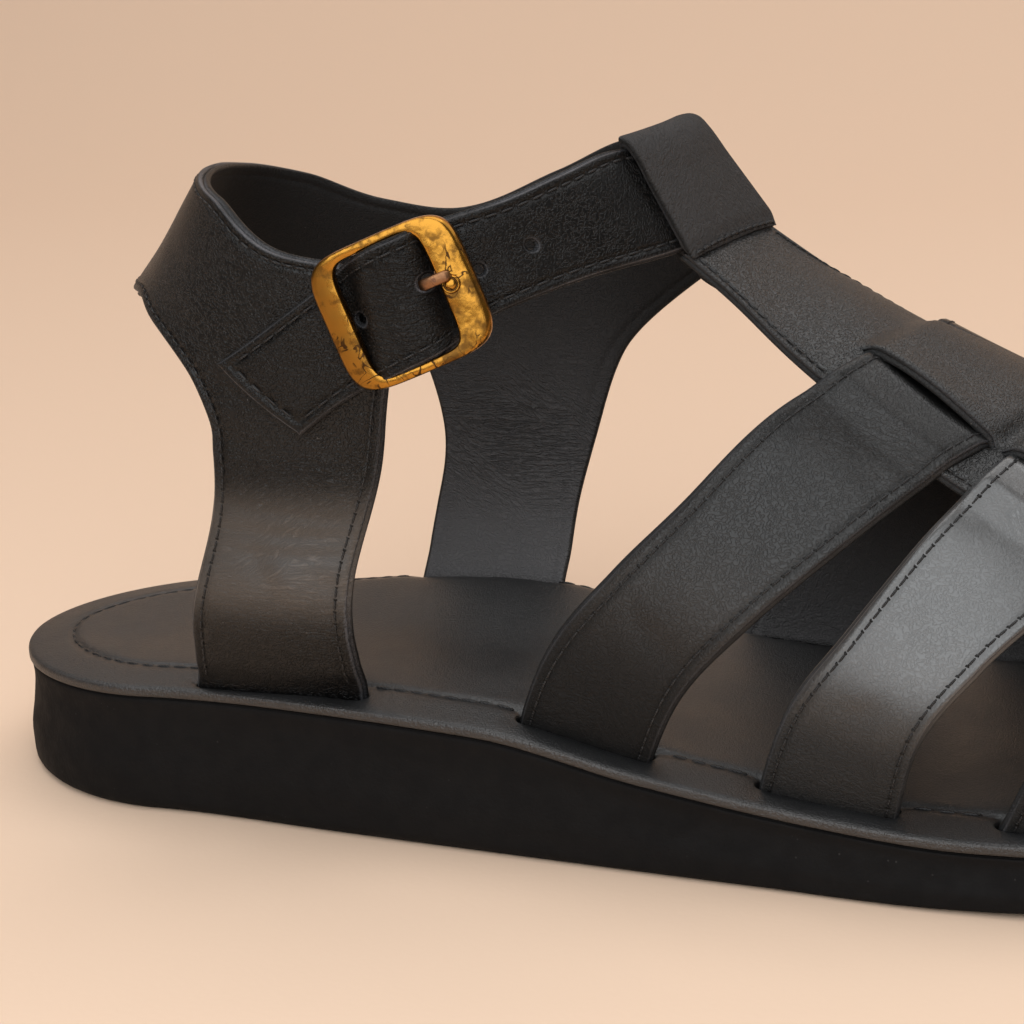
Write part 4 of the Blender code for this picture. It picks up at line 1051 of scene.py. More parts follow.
def punched(along, across):
    """Outline of a punched hole, an ellipse pulled long by the prong's weight."""
    c, s = np.cos(BUCKLE_LEAN), np.sin(BUCKLE_LEAN)
    middle = np.array([BUCKLE_ANGLE - along * c + across * s, BUCKLE_HEIGHT + along * s + across * c])
    wide = HOLE_RADIUS * (1.35 if (along, across) == PRONG_HOLE else 1.0)
    turn = np.linspace(0, 2 * np.pi, 28, endpoint=False)[:, None]
    return middle + wide * np.concatenate([np.cos(turn) * 1.2, np.sin(turn)], 1)


def unrubbed(points):
    return np.zeros(len(points))


def strap_flex(points):
    """Fine wrinkles where the strap bends over the buckle's bar."""
    return 0.5 * bell(strap_place(points)[0], 0, 12)


upper, lower = (run(t["angle"], t["height"], 0.9, ANKLE_SCALE) for t in (STRAP_UPPER, STRAP_LOWER))
strap_edges = [upper, straight(upper[-1], lower[0], 0.9, ANKLE_SCALE), lower]
strap_leather = black_leather("strap_leather", STRAP_SEAM, 0.33, 0.28)
panel(
    "ankle_strap_leather",
    [closed(strap_edges, 0.9, ANKLE_SCALE)] + [punched(*hole) for hole in HOLES],
    ANKLE_SCALE,
    0.85,
    on_strap,
    STRAP_LEATHER,
    strap_leather,
    ["ankle_strap"],
    flex=strap_flex,
    rub=unrubbed,
)
sewing = beside(strap_edges, -STRAP_SEAM, ANKLE_SCALE)
stitches("ankle_strap_stitches", sewing, on_strap, STRAP_LEATHER / 2, pitch=2.9, length=2.3, pit=0.52)

# ---------------------------------------------------------------- buckle
# Cast frame in antique gold, bevelled and bowed to the ankle, with wide side bars;
# a round bar across its window carries a flat copper prong and a leather tab.
FRAME_HALF_ALONG, FRAME_HALF_ACROSS = 12.7, 11.6
WINDOW_HALF_ALONG, WINDOW_HALF_ACROSS, WINDOW_SHIFT = 7.6, 9.9, -0.6
FRAME_LIFT, FRAME_THICK = 6.3, 2.4
# The frame is stiff, so it lies in one plane: its middle, which way the strap runs
# through it and which way it faces, and the radius it is bowed to along the strap.
BUCKLE_MIDDLE = np.array([94.0, -39.7, 96.5])
BUCKLE_ALONG, BUCKLE_FACE = np.array([0.913, 0.183, 0.364]), np.array([0.153, -0.983, 0.105])
BUCKLE_BOW = 70.0
BAR_LIFT, BAR_RADIUS = 4.4, 1.0
BOSS = (8.9, -0.25, 1.5)  # the cast dot beside the prong's tip: along, across, radius
GOLD, GOLD_DARK = (0.45, 0.212, 0.032), (0.06, 0.028, 0.010)
COPPER, COPPER_DARK = (0.27, 0.135, 0.065), (0.16, 0.08, 0.05)
BAR_HALF_LONG = 9.6
PRONG_HALF_THICK, PRONG_HALF_WIDE, PRONG_ACROSS = 0.62, 0.98, 1.3
PRONG = dict(
    along=(1.55, 0.2, -1.25, -1.95, -1.6, -0.3, 1.6, 3.6, 5.6, 7.2, 9.4),
    lift=(3.2, 2.46, 2.9, 4.4, 5.6, 6.33, 6.5, 7.1, 8.1, 8.5, 8.55),
)
TAB_HALF_WIDE, TAB_GAP, TAB_THICK = 8.4, 2.0, 0.9
TAB = dict(
    along=(-6.6, -3.6, -1.2, 0.6, 1.55, 1.55, 0.6, -0.6, -1.4),
    lift=(2.15, 2.15, 2.35, 2.8, 3.6, 5.1, 6.0, 6.05, 5.7),
)


def by_buckle(along, across, lift):
    """A point beside the buckle, along and across the strap and above the last:
    from the frame's middle, less the bow, along squared over twice its radius."""
    along, across, lift = np.broadcast_arrays(along, across, lift)
    out = lift - FRAME_LIFT - along**2 / (2 * BUCKLE_BOW)
    axes = np.array([BUCKLE_ALONG, np.cross(BUCKLE_FACE, BUCKLE_ALONG), BUCKLE_FACE])
    return BUCKLE_MIDDLE + np.stack([along, across, out], -1) @ axes


def barrel(turn, half_along, half_across, squareness):
    """A superellipse about the buckle's middle."""
    c, s = np.cos(turn), np.sin(turn)
    r = (np.abs(c) / half_along) ** squareness + (np.abs(s) / half_across) ** squareness
    return np.stack([c, s], 1) * r[:, None] ** (-1 / squareness)


def bent(name, table, wide, thick, look, slot, stands_for, **marks):
    """A strip beside the buckle, bent along the smooth line through the table's rows:
    at each step, a closed section of places across the strap and beside the line."""
    steps, sides = wide.shape
    rows = np.stack([table["along"], table["lift"]], 1).astype(float)
    far = lengths(rows)
    line = through(rows, far, np.linspace(0, far[-1], steps))
    square = left_of(np.gradient(line, axis=0))
    points = by_buckle(line[:, :1] + square[:, :1] * thick, wide, line[:, 1:] + square[:, 1:] * thick)
    make(name, points, [grid(steps, sides, around=True), caps(steps, sides)], look, slot, stands_for, **marks)


def metal(name, bright, dark, low, high, rough):
    """Plated metal: bright where it is handled, dark and dull in fine veins, smoky
    patches, and the hollows that polish never reaches."""
    made, tree, shader, place = material(name, Metallic=1.0)
    veins = swing(tree, noise(tree, place, 260.0, 2.0, 0.5, 1.2))
    veins = between_values(tree, veins, 0.008, 0.04, 1.0, 0.0)
    patch = between_values(tree, noise(tree, place, 130.0, 2.0), 0.5, 0.62)
    smoky = between_values(tree, noise(tree, place, 240.0, 5.0, 0.65), low, high)
    patina = sums(tree, "MAXIMUM", times(tree, veins, patch), times(tree, smoky, 0.8))
    patina = sums(tree, "MAXIMUM", patina, mark(tree, "hollow"))
    waves = times(tree, noise(tree, place, 210.0, 2.0, 0.4), 0.32)
    height = sums(tree, "MULTIPLY_ADD", noise(tree, place, 900.0, 3.0), 0.03, waves)
    tone = blend(tree, patina, bright, dark)
    finish(tree, shader, height, Base_Color=tone, Roughness=mixed(tree, patina, rough, rough + 0.2))
    return made


gold = metal("antique_gold", GOLD, GOLD_DARK, 0.47, 0.64, 0.22)
copper = metal("copper", COPPER, COPPER_DARK, 0.5, 0.72, 0.34)

# The frame's section: share from the window to the outside, and share of half the
# thickness; a flat top with a bevel to each side and a flat back.
SECTION = np.array(
    [
        (-1, -0.55), (-1, 0.3), (-0.97, 0.55), (-0.9, 0.86), (-0.84, 0.96), (-0.76, 1.0), (-0.4, 1.0),
        (0, 1.0), (0.4, 1.0), (0.72, 1.0), (0.8, 0.95), (0.88, 0.82), (0.97, 0.5), (1, 0.25),
        (1, -0.55), (0.9, -0.9), (0.7, -1.0), (0, -1.0), (-0.7, -1.0), (-0.9, -0.9),
    ]
)
TOP_CROWN = 0.14  # the flat top bulges by this much
turn = np.linspace(0, 2 * np.pi, 180, endpoint=False)
outer = barrel(turn, FRAME_HALF_ALONG, FRAME_HALF_ACROSS, 5.0)
inner = barrel(turn, WINDOW_HALF_ALONG, WINDOW_HALF_ACROSS, 7.0) + (WINDOW_SHIFT, 0)
flat = (outer + inner)[:, None] / 2 + (outer - inner)[:, None] / 2 * SECTION[:, :1]
tall = FRAME_THICK / 2 * SECTION[:, 1] + TOP_CROWN * (SECTION[:, 1] > 0) * np.cos(SECTION[:, 0] * np.pi / 2)
underside = 0.75 * (SECTION[:, 1] < -0.4) + 0 * flat[..., 0]
beside_bar = 0.42 * bell(flat[..., 0], -11.5, 3.0)
make(
    "buckle_frame_cast",
    by_buckle(flat[..., 0], flat[..., 1], FRAME_LIFT + tall),
    [grid(len(turn), len(SECTION), around=True, closed=True)],
    gold,
    "antique_brass",
    ["buckle_frame"],
    hollow=(underside + beside_bar).ravel(),
)
SIDES = 24  # of the bar and the dot
circle = np.linspace(0, 2 * np.pi, SIDES, endpoint=False)
across = np.linspace(-BAR_HALF_LONG, BAR_HALF_LONG, SIDES)[:, None]
rod = by_buckle(BAR_RADIUS * np.cos(circle), across, BAR_LIFT + BAR_RADIUS * np.sin(circle))
faces = [grid(SIDES, SIDES, around=True), caps(SIDES, SIDES)]
make("buckle_bar", rod, faces, gold, "antique_brass", hollow=0.6)
# The cast dot: a low round boss with a ring sunk round its crown, by share of its
# radius, height over the frame, and how dark the hollows are.
reach = np.array([1.06, 1.0, 0.93, 0.84, 0.74, 0.66, 0.58, 0.48, 0.25])
crown = np.array([-0.5, 0.25, 0.5, 0.6, 0.5, 0.3, 0.5, 0.62, 0.68])
hollow = np.array([0.8, 0, 0, 0, 0.9, 0.9, 0.9, 0, 0])
dot = by_buckle(
    BOSS[0] + BOSS[2] * reach[:, None] * np.cos(circle),
    BOSS[1] + BOSS[2] * reach[:, None] * np.sin(circle),
    FRAME_LIFT + FRAME_THICK / 2 + 0.1 + crown[:, None],
)
faces = [grid(len(reach), SIDES, around=True), caps(len(reach), SIDES)]
make("buckle_dot", dot, faces, gold, "antique_brass", hollow=np.repeat(hollow, SIDES))

# The prong: a flat rod with rounded sides, narrower at its tip.
narrow = np.interp(np.arange(90), [0, 60, 86, 89], [1, 1, 0.92, 0.55])[:, None]
spin = np.linspace(0, 2 * np.pi, 20, endpoint=False)
wide, thick = (np.sign(f(spin)) * np.abs(f(spin)) ** 0.6 * narrow for f in (np.cos, np.sin))
wide, thick = PRONG_ACROSS + PRONG_HALF_WIDE * wide, PRONG_HALF_THICK * thick
bent("buckle_prong", PRONG, wide, thick, copper, "copper_prong", ["prong"], hollow=0.0)

# The tab: a strip round the bar, in two straps so that the prong can pass.
share = np.array([0, 0.02, 0.07, 0.5, 0.93, 0.98, 1, 1, 0.98, 0.93, 0.5, 0.07, 0.02, 0])
thick = np.array([0.4, 0.8, 1, 1, 1, 0.8, 0.4, -0.4, -0.8, -1, -1, -1, -0.8, -0.4]) * TAB_THICK / 2
for name, first in (("buckle_tab_lower", -TAB_HALF_WIDE), ("buckle_tab_upper", TAB_GAP)):
    wide = np.tile(first + (TAB_HALF_WIDE - TAB_GAP) * share, (60, 1))
    bent(name, TAB, wide, thick, strap_leather, "black_leather", ["buckle_tab"], ply=0.9, seam=20.0)

# ---------------------------------------------------------------- spine
# The panel down the middle of the foot: one piece, slit twice at each cross strap,
# sewn round its edges, its top end folded over the ankle strap and sewn down.
INSTEP_SCALE = (1.0, GIRTH_MM)
SPINE_THICK, SPINE_SEAM = 2.2, 1.75
WEAVE = 2.0  # how far raised leather stands over the leather beneath
PANEL_SPARE = 0.4  # how much more the middle panel is raised
SLIT_LIP, LIP_GIRTH = 1.5, 0.06  # how far it gapes at the near slit, and how far in from there
SPINE = dict(
    station=(131.0, 142.2, 149, 155.1, 165, 183, 205, 249.5),
    near=(-0.27, -0.305, -0.33, -0.35, -0.385, -0.44, -0.47, -0.49),
    far=(0.01, 0.06, 0.075, 0.085, 0.12, 0.19, 0.24, 0.27),
    slit_near=(-0.20, -0.20, -0.21, -0.22, -0.25, -0.315, -0.35, -0.37),
    slit_far=(-0.05, -0.05, -0.05, -0.05, -0.04, 0.02, 0.07, 0.11),
)
# The crest is flattened this much before the first station, not at all past the second.
CREST_FLAT, CREST_ENDS = 0.85, (144.0, 160.0)
SEAM_NEAR, SEAM_FAR = (134.7, -0.28), (144.5, 0.06)  # station and girth of the seam's ends
SPINE_STARTS, SPINE_END = 2.4, 4.5  # how far it starts behind the seam and ends past the front strap
SLIT_SPARE, SLIT_HALF = 0.5, 0.3  # a slit runs this far past the strap, and opens this much
# Past a slit's ends the panel's sides soften: over this length, to a step this much girth wide.
SLIT_FADE, SLIT_SOFT = 1.4, 0.05
# Cross straps: rear and front edge, station by girth.
CROSS_STRAPS = {
    "rear": dict(
        girth=(-1.04, -0.9, -0.77, -0.62, -0.44, -0.27, -0.1, 0.08, 0.25, 0.5, 0.75, 1.04),
        back=(104.5, 112.8, 124.7, 138.1, 150.3, 161.0, 169.0, 171.7, 169.5, 160.0, 146.0, 131.5),
        front=(128.2, 136.0, 147.6, 161.1, 174.6, 185.5, 191.5, 193.6, 192.0, 185.0, 172.5, 158.0),
    ),
    "middle": dict(
        girth=(-1.04, -0.87, -0.72, -0.57, -0.27, -0.1, 0.08, 0.25, 0.5, 0.75, 1.04),
        back=(147.0, 153.2, 163.1, 172.3, 188.2, 195.0, 198.5, 198.5, 193.5, 186.0, 177.5),
        front=(170.6, 174.9, 184.5, 195.5, 211.5, 217.0, 219.8, 219.5, 214.0, 206.0, 198.0),
    ),
    "front": dict(
        girth=(-1.04, -0.89, -0.7, -0.5, -0.3, -0.1, 0.1, 0.3, 0.5, 0.75, 1.04),
        back=(185.8, 191.5, 200.5, 210.0, 218.0, 223.5, 225.5, 225.0, 222.5, 217.5, 210.5),
        front=(208.0, 212.0, 221.0, 230.5, 238.0, 243.0, 245.0, 244.5, 241.5, 236.0, 229.0),
    ),
}


def between(station, girth, low, high, soft):
    """1 between two of the spine's lines, falling to 0 over a soft girth step."""
    low, high = (smooth(SPINE, "station", key, station) for key in (low, high))
    return ramp(girth, low - soft, low + soft) * (1 - ramp(girth, high - soft, high + soft))


def on_crest(station, girth, lift):
    """The instep drawn flat across where the loop is sewn: a share of the way from
    the arch to the straight line between the spine's two edges."""
    share = CREST_FLAT * (1 - ramp(station, *CREST_ENDS))
    near, far = (smooth(SPINE, "station", edge, station) for edge in ("near", "far"))
    u = ((girth - near) / (far - near))[..., None]
    chord = on_instep(station, near, lift) * (1 - u) + on_instep(station, far, lift) * u
    share = np.broadcast_to(share, u.shape[:-1])[..., None]
    return on_instep(station, girth, lift) * (1 - share) + chord * share


def crossed_by(table, girth):
    """The stations of a cross strap's rear and front edge at this girth."""
    return smooth(table, "girth", "back", girth), smooth(table, "girth", "front", girth)


def crossing(station, girth):
    """1 where a cross strap passes under the middle panel, easing to 0 past its edges."""
    total = np.zeros_like(station)
    for table in CROSS_STRAPS.values():
        back, front = crossed_by(table, girth)
        inside = ramp(station, back - 3.2, back + 1.6) * (1 - ramp(station, front - 1.6, front + 3.2))
        total = np.maximum(total, inside)
    return total


def lens(station, girth):
    """Over each strap, a half sine of the way across it; and 1 where the slits run,
    0 past their ends."""
    middle, cut = np.zeros_like(station), np.zeros_like(station)
    for table in CROSS_STRAPS.values():
        back, front = crossed_by(table, girth)
        share = np.clip((station - back) / (front - back), 0, 1)
        middle = np.maximum(middle, np.sin(np.pi * share))
        inside = ramp(station, back - SLIT_SPARE - SLIT_FADE, back - SLIT_SPARE)
        inside *= 1 - ramp(station, front + SLIT_SPARE, front + SLIT_SPARE + SLIT_FADE)
        cut = np.maximum(cut, inside)
    return middle, cut


def on_spine(points, lift, away=None):
    """The spine on the instep: its middle panel raised over each strap between two
    slits, and gaping at the near slit most in the middle of the strap's width."""
    station, girth = points[:, 0], points[:, 1]
    middle, cut = lens(station, girth)
    inside = between(station, girth, "slit_near", "slit_far", 0.004 + SLIT_SOFT * (1 - cut))
    lip = SLIT_LIP * inside * bell(girth, smooth(SPINE, "station", "slit_near", station), LIP_GIRTH) * middle
    raised = inside * crossing(station, girth)
    lift = lift + PANEL_SPARE * raised + lip
    if away is not None:
        lift = lift + 0.1 * ramp(away, SPINE_SEAM, SPINE_SEAM + 4)
    return on_crest(station, girth, WEAVE * raised + lift)


def meets(line, table, edge, spare):
    """The station at which a line of the spine meets a cross strap's edge plus spare:
    the edge's station at the line's girth there, taken over and over."""
    station = 190.0
    for _ in range(12):
        station = float(smooth(table, "girth", edge, smooth(SPINE, "station", line, station))) + spare
    return station


def spine_edges(spacing):
    """The spine's sewn edges: near side, toe end, far side."""
    front, sides = CROSS_STRAPS["front"], []
    for edge, seam in (("near", SEAM_NEAR), ("far", SEAM_FAR)):
        first, last = seam[0] - SPINE_STARTS, meets(edge, front, "front", SPINE_END)
        station = np.array([first, *(x for x in SPINE["station"] if first + 2 < x < last - 2), last])
        sides.append(run(station, smooth(SPINE, "station", edge, station), spacing, INSTEP_SCALE))
    near, far = sides
    girth = np.linspace(near[-1, 1], far[-1, 1], 5)
    toe = run(smooth(front, "girth", "front", girth) + SPINE_END, girth, spacing, INSTEP_SCALE)
    return [near, toe, far[::-1]]


def slit(table, line):
    """A slit beside the middle panel: a lens along the spine's line from just behind
    a strap to just in front of it, its half width a sine of the way along."""
    start, end = meets(line, table, "back", -SLIT_SPARE), meets(line, table, "front", SLIT_SPARE)
    t = np.linspace(0, 1, 34)
    station = start + (end - start) * t
    girth = smooth(SPINE, "station", line, station)
    open_by = SLIT_HALF / GIRTH_MM * np.sin(np.pi * t) ** 0.7
    low, high = np.stack([station, girth - open_by], 1), np.stack([station, girth + open_by], 1)
    return np.concatenate([low, high[-2:0:-1]])


def spine_flex(points):
    return np.full(len(points), 0.08)


edges = spine_edges(1.0)
slits = [slit(table, line) for table in CROSS_STRAPS.values() for line in ("slit_near", "slit_far")]
spine_leather = black_leather("spine_leather", SPINE_SEAM, 0.38, 0.7, pale=0.3)
panel(
    "spine_leather",
    [closed(edges, 1.0, INSTEP_SCALE)] + slits,
    INSTEP_SCALE,
    1.0,
    on_spine,
    SPINE_THICK,
    spine_leather,
    ["upper"],
    flex=spine_flex,
    rub=unrubbed,
)
stitches("spine_stitches", beside(edges, SPINE_SEAM, INSTEP_SCALE), on_spine, SPINE_THICK / 2)

# Loop: up behind the ankle strap, over its top edge, down its front to the seam.
LOOP_NEAR = dict(height=(94, 96.3, 106.6, 116.5, 122), angle=(-150.7, -150.5, -149.5, -148.6, -148.0))
LOOP_FAR = dict(height=(94, 99.2, 107.7, 115.7, 122), angle=(-181.6, -179.9, -177.4, -176.0, -175.0))
LOOP_TUCK = 3.5  # degrees by which the layer behind the strap is narrower
LOOP_LEATHER, LOOP_LIFT, LOOP_TOP = 1.8, 2.45, 114.5
LOOP_SLANT = 1.3  # the fold's top rises this much from its near to its far end
LOOP_WIDE = 24.0
LOOP_STEPS, LOOP_COLUMNS = 110, 24
LOOP_PARED, LOOP_PARED_FROM = 0.65, 0.94  # its end is thinned by this share, from this share of its length


def seam_row(ahead, w, lift):
    """Points this far ahead of the loop's seam, at shares w of its width."""
    station = (SEAM_NEAR[0] + ahead) * (1 - w) + (SEAM_FAR[0] + ahead) * w
    return on_crest(station, SEAM_NEAR[1] * (1 - w) + SEAM_FAR[1] * w, lift)


def loop_row(height, w, lift):
    """Points across the loop at this height on the ankle, closer together if they
    are behind the strap."""
    near, far = (smooth(table, "height", "angle", height) for table in (LOOP_NEAR, LOOP_FAR))
    tuck = LOOP_TUCK * (lift <= 0)
    return on_ankle((near - tuck) * (1 - w) + (far + tuck) * w, height + LOOP_SLANT * w, lift)


def loop_rows(w):
    """The loop's course at shares w of its width: rows across the spine, then rows
    across the ankle, half circles of lift over the strap's top, and back down."""
    rows = [seam_row(5.0, w, -0.7), seam_row(1.2, w, -0.8)]
    for height, lift in ((96.2, -0.2), (96.9, -1.7)):
        rows.append(loop_row(height, w, lift))
    for height in (99.0, 106.0, LOOP_TOP):
        rows.append(loop_row(height, w, -LOOP_LIFT))
    for a in np.radians(np.linspace(-60, 60, 7)):
        rows.append(loop_row(LOOP_TOP + LOOP_LIFT * np.cos(a), w, LOOP_LIFT * np.sin(a)))
    top, seam = loop_row(LOOP_TOP, w, LOOP_LIFT), seam_row(-2.1, w, 2.15)
    rows += [top * (1 - q) + seam * q for q in (0, 0.33, 0.66, 0.9)]
    return np.array([*rows, seam, seam_row(-0.7, w, 1.3)])


def threaded(rows, count):
    """Points through the rows, cubics whose rates join each row's neighbours."""
    far = np.concatenate([[0], np.cumsum(np.linalg.norm(np.diff(rows, axis=0), axis=2).mean(1))])
    rate = np.gradient(rows, far, axis=0)
    at = np.linspace(0, far[-1], count)
    i = np.clip(np.searchsorted(far, at) - 1, 0, len(far) - 2)
    h = (far[i + 1] - far[i])[:, None, None]
    return hermite((at - far[i])[:, None, None] / h, rows[i], rows[i + 1], rate[i] * h, rate[i + 1] * h)


inset, edge_share = np.array(TWO_PLIES).T
inset = inset / LOOP_WIDE
middle = np.linspace(inset[0], 1 - inset[0], LOOP_COLUMNS + 2)[1:-1]
w = np.concatenate([middle, 1 - inset, middle[::-1], inset[::-1]])
ply = np.concatenate([np.ones(LOOP_COLUMNS), edge_share, -np.ones(LOOP_COLUMNS), edge_share[::-1]])
course, ahead, behind = (threaded(loop_rows(w + d), LOOP_STEPS) for d in (0.0, 0.01, -0.01))
normal = np.cross(ahead - behind, np.gradient(course, axis=0))
normal /= np.linalg.norm(normal, axis=2, keepdims=True)
length = np.linspace(0, 1, LOOP_STEPS)[:, None]
pared = 1 - LOOP_PARED * ramp(length, LOOP_PARED_FROM, 1.0)
pattern = np.stack(np.broadcast_arrays(length * 60, w * LOOP_WIDE), -1).reshape(-1, 2)
loop_leather = black_leather("loop_leather", 40.0, 0.4, 0.46, pale=0.3)
make(
    "loop_leather",
    course + normal * (ply * pared * LOOP_LEATHER / 2)[..., None],
    [grid(LOOP_STEPS, len(w), around=True), caps(LOOP_STEPS, len(w))],
    loop_leather,
    "black_leather",
    pattern=pattern,
    ply=np.tile(ply, LOOP_STEPS),
    seam=20.0,
    flex=0.35,
    rub=0.2,
)


def on_loop_end(points, lift):
    """The seam's line across the loop's front end."""
    return seam_row(points[:, 0], points[:, 1], 1.15 + lift)


t = np.linspace(0.05, 0.95, 60)
stitches(
    "loop_stitches",
    [np.stack([0 * t - 1.0, t], 1)],
    on_loop_end,
    LOOP_LEATHER / 2,
    pitch=2.0,
    length=1.6,
    radius=0.34,
    pit=0.55,
)

# ---------------------------------------------------------------- cross straps
# Three two-ply straps: out of a footbed slot, over the spine's margin, down a
# slit, under its middle panel, and the same way to the slot on the other side.
CROSS_THICK, CROSS_SEAM = 2.3, 1.8
CROSS_TWIST = 1.5  # a strap's front edge stands out this much more than its middle, beside the foot
CROSS_CREASES = {
    "rear": (
        (140, -0.84, 126, -0.80, 0.3, 1.6),
        (128, -0.90, 114, -0.94, 0.25, 1.4),
        (176, -0.50, 160, -0.46, 0.2, 2.0),
    ),
    "middle": (
        (176.5, -0.41, 190, -0.46, 0.4, 1.1),
        (178, -0.45, 186, -0.475, 0.3, 0.8),
        (172, -0.80, 160, -0.84, 0.2, 1.5),
        (181, -0.72, 168, -0.66, 0.18, 2.4),
    ),
    "front": ((200, -0.86, 190, -0.9, 0.25, 1.4), (230, -0.4, 216, -0.36, 0.2, 1.8)),
}


def on_cross(table, creases):
    """A cross strap on the instep: lifted over the spine's margins, down to the last
    under its middle panel, and twisted beside the foot so that its front edge shows."""

    def place(points, lift, away=None):
        station, girth = points[:, 0], points[:, 1]
        over = between(station, girth, "near", "far", 0.04)
        through = between(station, girth, "slit_near", "slit_far", 0.026)
        lift = lift + pressed(points, creases, INSTEP_SCALE)
        back, front = crossed_by(table, girth)
        turned = ramp(np.abs(girth), 0.5, 0.7) * (1 - 0.75 * ramp(np.abs(girth), 0.86, 0.99))
        lift = lift + CROSS_TWIST * turned * np.clip((2 * station - back - front) / (front - back), -1, 1)
        if away is not None:
            lift = lift + 0.15 * ramp(away, CROSS_SEAM, CROSS_SEAM + 5) * (1 - over)
        return on_instep(station, girth, WEAVE * (over - through) + lift)

    return place


def cross_flex(points):
    """Fine wrinkles all over, more where a strap dips into the spine and at its feet."""
    girth = points[:, 1]
    return 0.06 + 0.45 * bell(girth, -0.43, 0.05) + 0.2 * bell(np.abs(girth), 0.95, 0.07)


def cross_rub(points):
    """A painted warm highlight in a soft band above the straps' feet, and towards the slots on the medial
    side brown-grey outside and paler grey inside."""
    return 0.22 * bell(points[:, 1], -0.78, 0.09) + 0.6 * ramp(points[:, 1], 0.62, 0.98)


def cross_sheen(points):
    """Polished over the foot, dull at the straps' feet."""
    return 1 - ramp(np.abs(points[:, 1]), 0.74, 0.9)


# Of each strap's leather: gloss, shine, coat and the coat's index.
CROSS_SHINE = dict(rear=(0.36, 0.34, 0.3, 1.5), middle=(0.34, 0.62, 0.85, 1.82), front=(0.36, 0.5, 0.6, 1.5))
for where, table in CROSS_STRAPS.items():
    back, front = (run(table[edge], table["girth"], 1.0, INSTEP_SCALE) for edge in ("back", "front"))
    edges = [back, front[::-1]]
    cross_leather = black_leather(
        where + "_strap_leather", CROSS_SEAM, *CROSS_SHINE[where], pale=0.55, matte=0.75
    )
    place = on_cross(table, CROSS_CREASES[where])
    panel(
        "cross_strap_" + where,
        [closed(edges, 1.0, INSTEP_SCALE)],
        INSTEP_SCALE,
        1.0,
        place,
        CROSS_THICK,
        cross_leather,
        ["upper"],
        flex=cross_flex,
        rub=cross_rub,
        sheen=cross_sheen,
    )
    stitches("cross_stitches_" + where, beside(edges, -CROSS_SEAM, INSTEP_SCALE), place, CROSS_THICK / 2)

# ---------------------------------------------------------------- stage
# A pale paper sweep that the sandal stands on, three soft lamps and a camera.
# Its measures are in metres.
STAGE_WIDE, STAGE_NEAR, STAGE_FAR, STAGE_TALL, STAGE_BEND = 3.2, -2.2, 1.5, 2.6, 0.9
PAPER, PAPER_PALE = (0.81, 0.60, 0.448), (0.84, 0.625, 0.472)
paper, tree, shader, place = material("paper_sweep", Roughness=0.9, Specular_IOR_Level=0.1)
shade = noise(tree, place, 1.2, 1.0)
tooth = times(tree, noise(tree, place, 900.0, 0.0), 0.02)
finish(tree, shader, tooth, Base_Color=blend(tree, shade, PAPER, PAPER_PALE))
bend = np.linspace(0, np.pi / 2, 24)
curve = STAGE_BEND * np.stack([np.sin(bend) - 1, 1 - np.cos(bend)], 1) + (STAGE_FAR, 0)
curve = np.concatenate([[(STAGE_NEAR, 0.0), (0.0, 0.0)], curve, [(STAGE_FAR, STAGE_TALL)]])
across = np.linspace(-STAGE_WIDE, STAGE_WIDE, 5)
points = np.stack(np.broadcast_arrays(across, curve[:, :1], curve[:, 1:]), -1)
mesh = bpy.data.meshes.new("paper_sweep")
mesh.from_pydata(points.reshape(-1, 3).tolist(), [], grid(len(curve), 5)[:, ::-1].tolist())
mesh.shade_smooth()
mesh.materials.append(paper)
sweep = bpy.data.objects.new("paper_sweep", mesh)
bpy.context.scene.collection.objects.link(sweep)


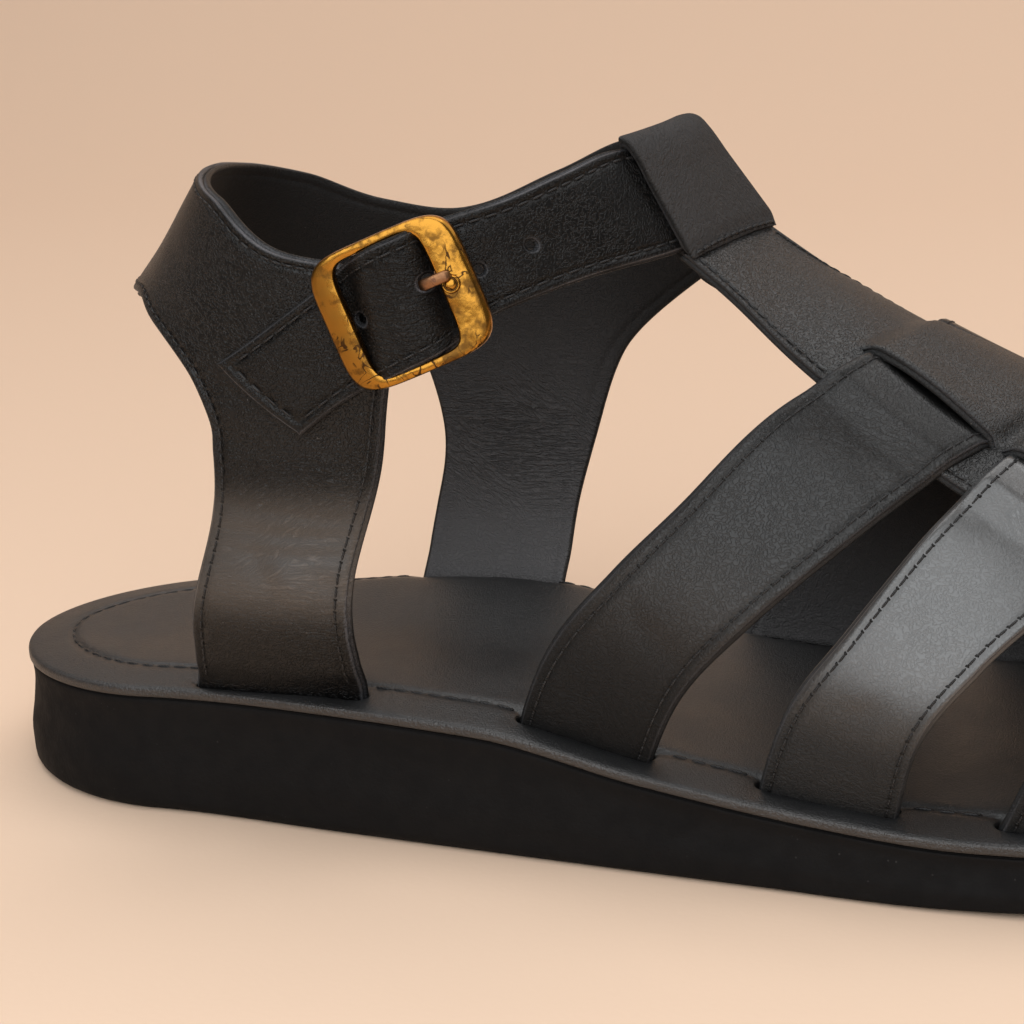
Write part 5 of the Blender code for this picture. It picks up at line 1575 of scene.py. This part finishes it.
def stand(name, made, place, right, up, back):
    """A lamp or camera in its place, turned by its three axes."""
    thing = bpy.data.objects.new(name, made)
    turned = np.eye(4)
    turned[:3, :3], turned[:3, 3] = np.stack([right, up, back], 1), place
    thing.matrix_world = Matrix(turned.tolist())
    bpy.context.scene.collection.objects.link(thing)
    return thing


def lamp(name, place, aim, wide, tall, power, colour):
    """A soft box at a place, turned to face its aim."""
    made = bpy.data.lights.new(name, "AREA")
    made.shape, made.size, made.size_y, made.energy, made.color = "RECTANGLE", wide, tall, power, colour
    back = np.array(place, float) - np.array(aim, float)
    back /= np.linalg.norm(back)
    right = np.cross((0.0, 1.0, 0.0) if abs(back[2]) > 0.99 else (0.0, 0.0, 1.0), back)
    right /= np.linalg.norm(right)
    stand(name, made, place, right, np.cross(back, right), back)


lamp("front_high", (0.12, -0.644, 0.47), (0.12, -0.03, 0.04), 0.95, 0.8, 5.6, (0.95, 0.98, 1.0))
lamp("overhead", (0.0, 0.36, 1.9), (0.0, 0.36, 0.0), 2.6, 1.8, 27.0, (1.0, 0.99, 0.98))
lamp("side_high", (0.70, 0.34, 0.73), (0.16, 0.0, 0.09), 0.75, 0.65, 1.35, (0.95, 0.97, 1.0))
world = bpy.data.worlds.new("room")
world.use_nodes = True
room = world.node_tree.nodes["Background"].inputs
room["Color"].default_value, room["Strength"].default_value = (1.0, 0.95, 0.9, 1), 0.12
bpy.context.scene.world = world
bpy.context.scene.view_settings.view_transform = "Standard"

CAMERA_AT = (0.173056, -0.360672, 0.168770)
YAW, PITCH, ROLL = np.radians((17.198, 17.515, -2.987))
SENSOR_WIDE = 36.0
FOCAL_SHARE = 2201 / 1024  # focal length over the picture's width
camera = bpy.data.cameras.new("camera")
camera.sensor_width, camera.lens = SENSOR_WIDE, SENSOR_WIDE * FOCAL_SHARE
camera.clip_start, camera.clip_end = 0.02, 20.0
ahead = np.array([-np.sin(YAW) * np.cos(PITCH), np.cos(YAW) * np.cos(PITCH), -np.sin(PITCH)])
level = np.array([np.cos(YAW), np.sin(YAW), 0.0])
upright = np.cross(level, ahead)
right = level * np.cos(ROLL) + upright * np.sin(ROLL)
up = upright * np.cos(ROLL) - level * np.sin(ROLL)
bpy.context.scene.camera = stand("camera", camera, CAMERA_AT, right, up, -ahead)
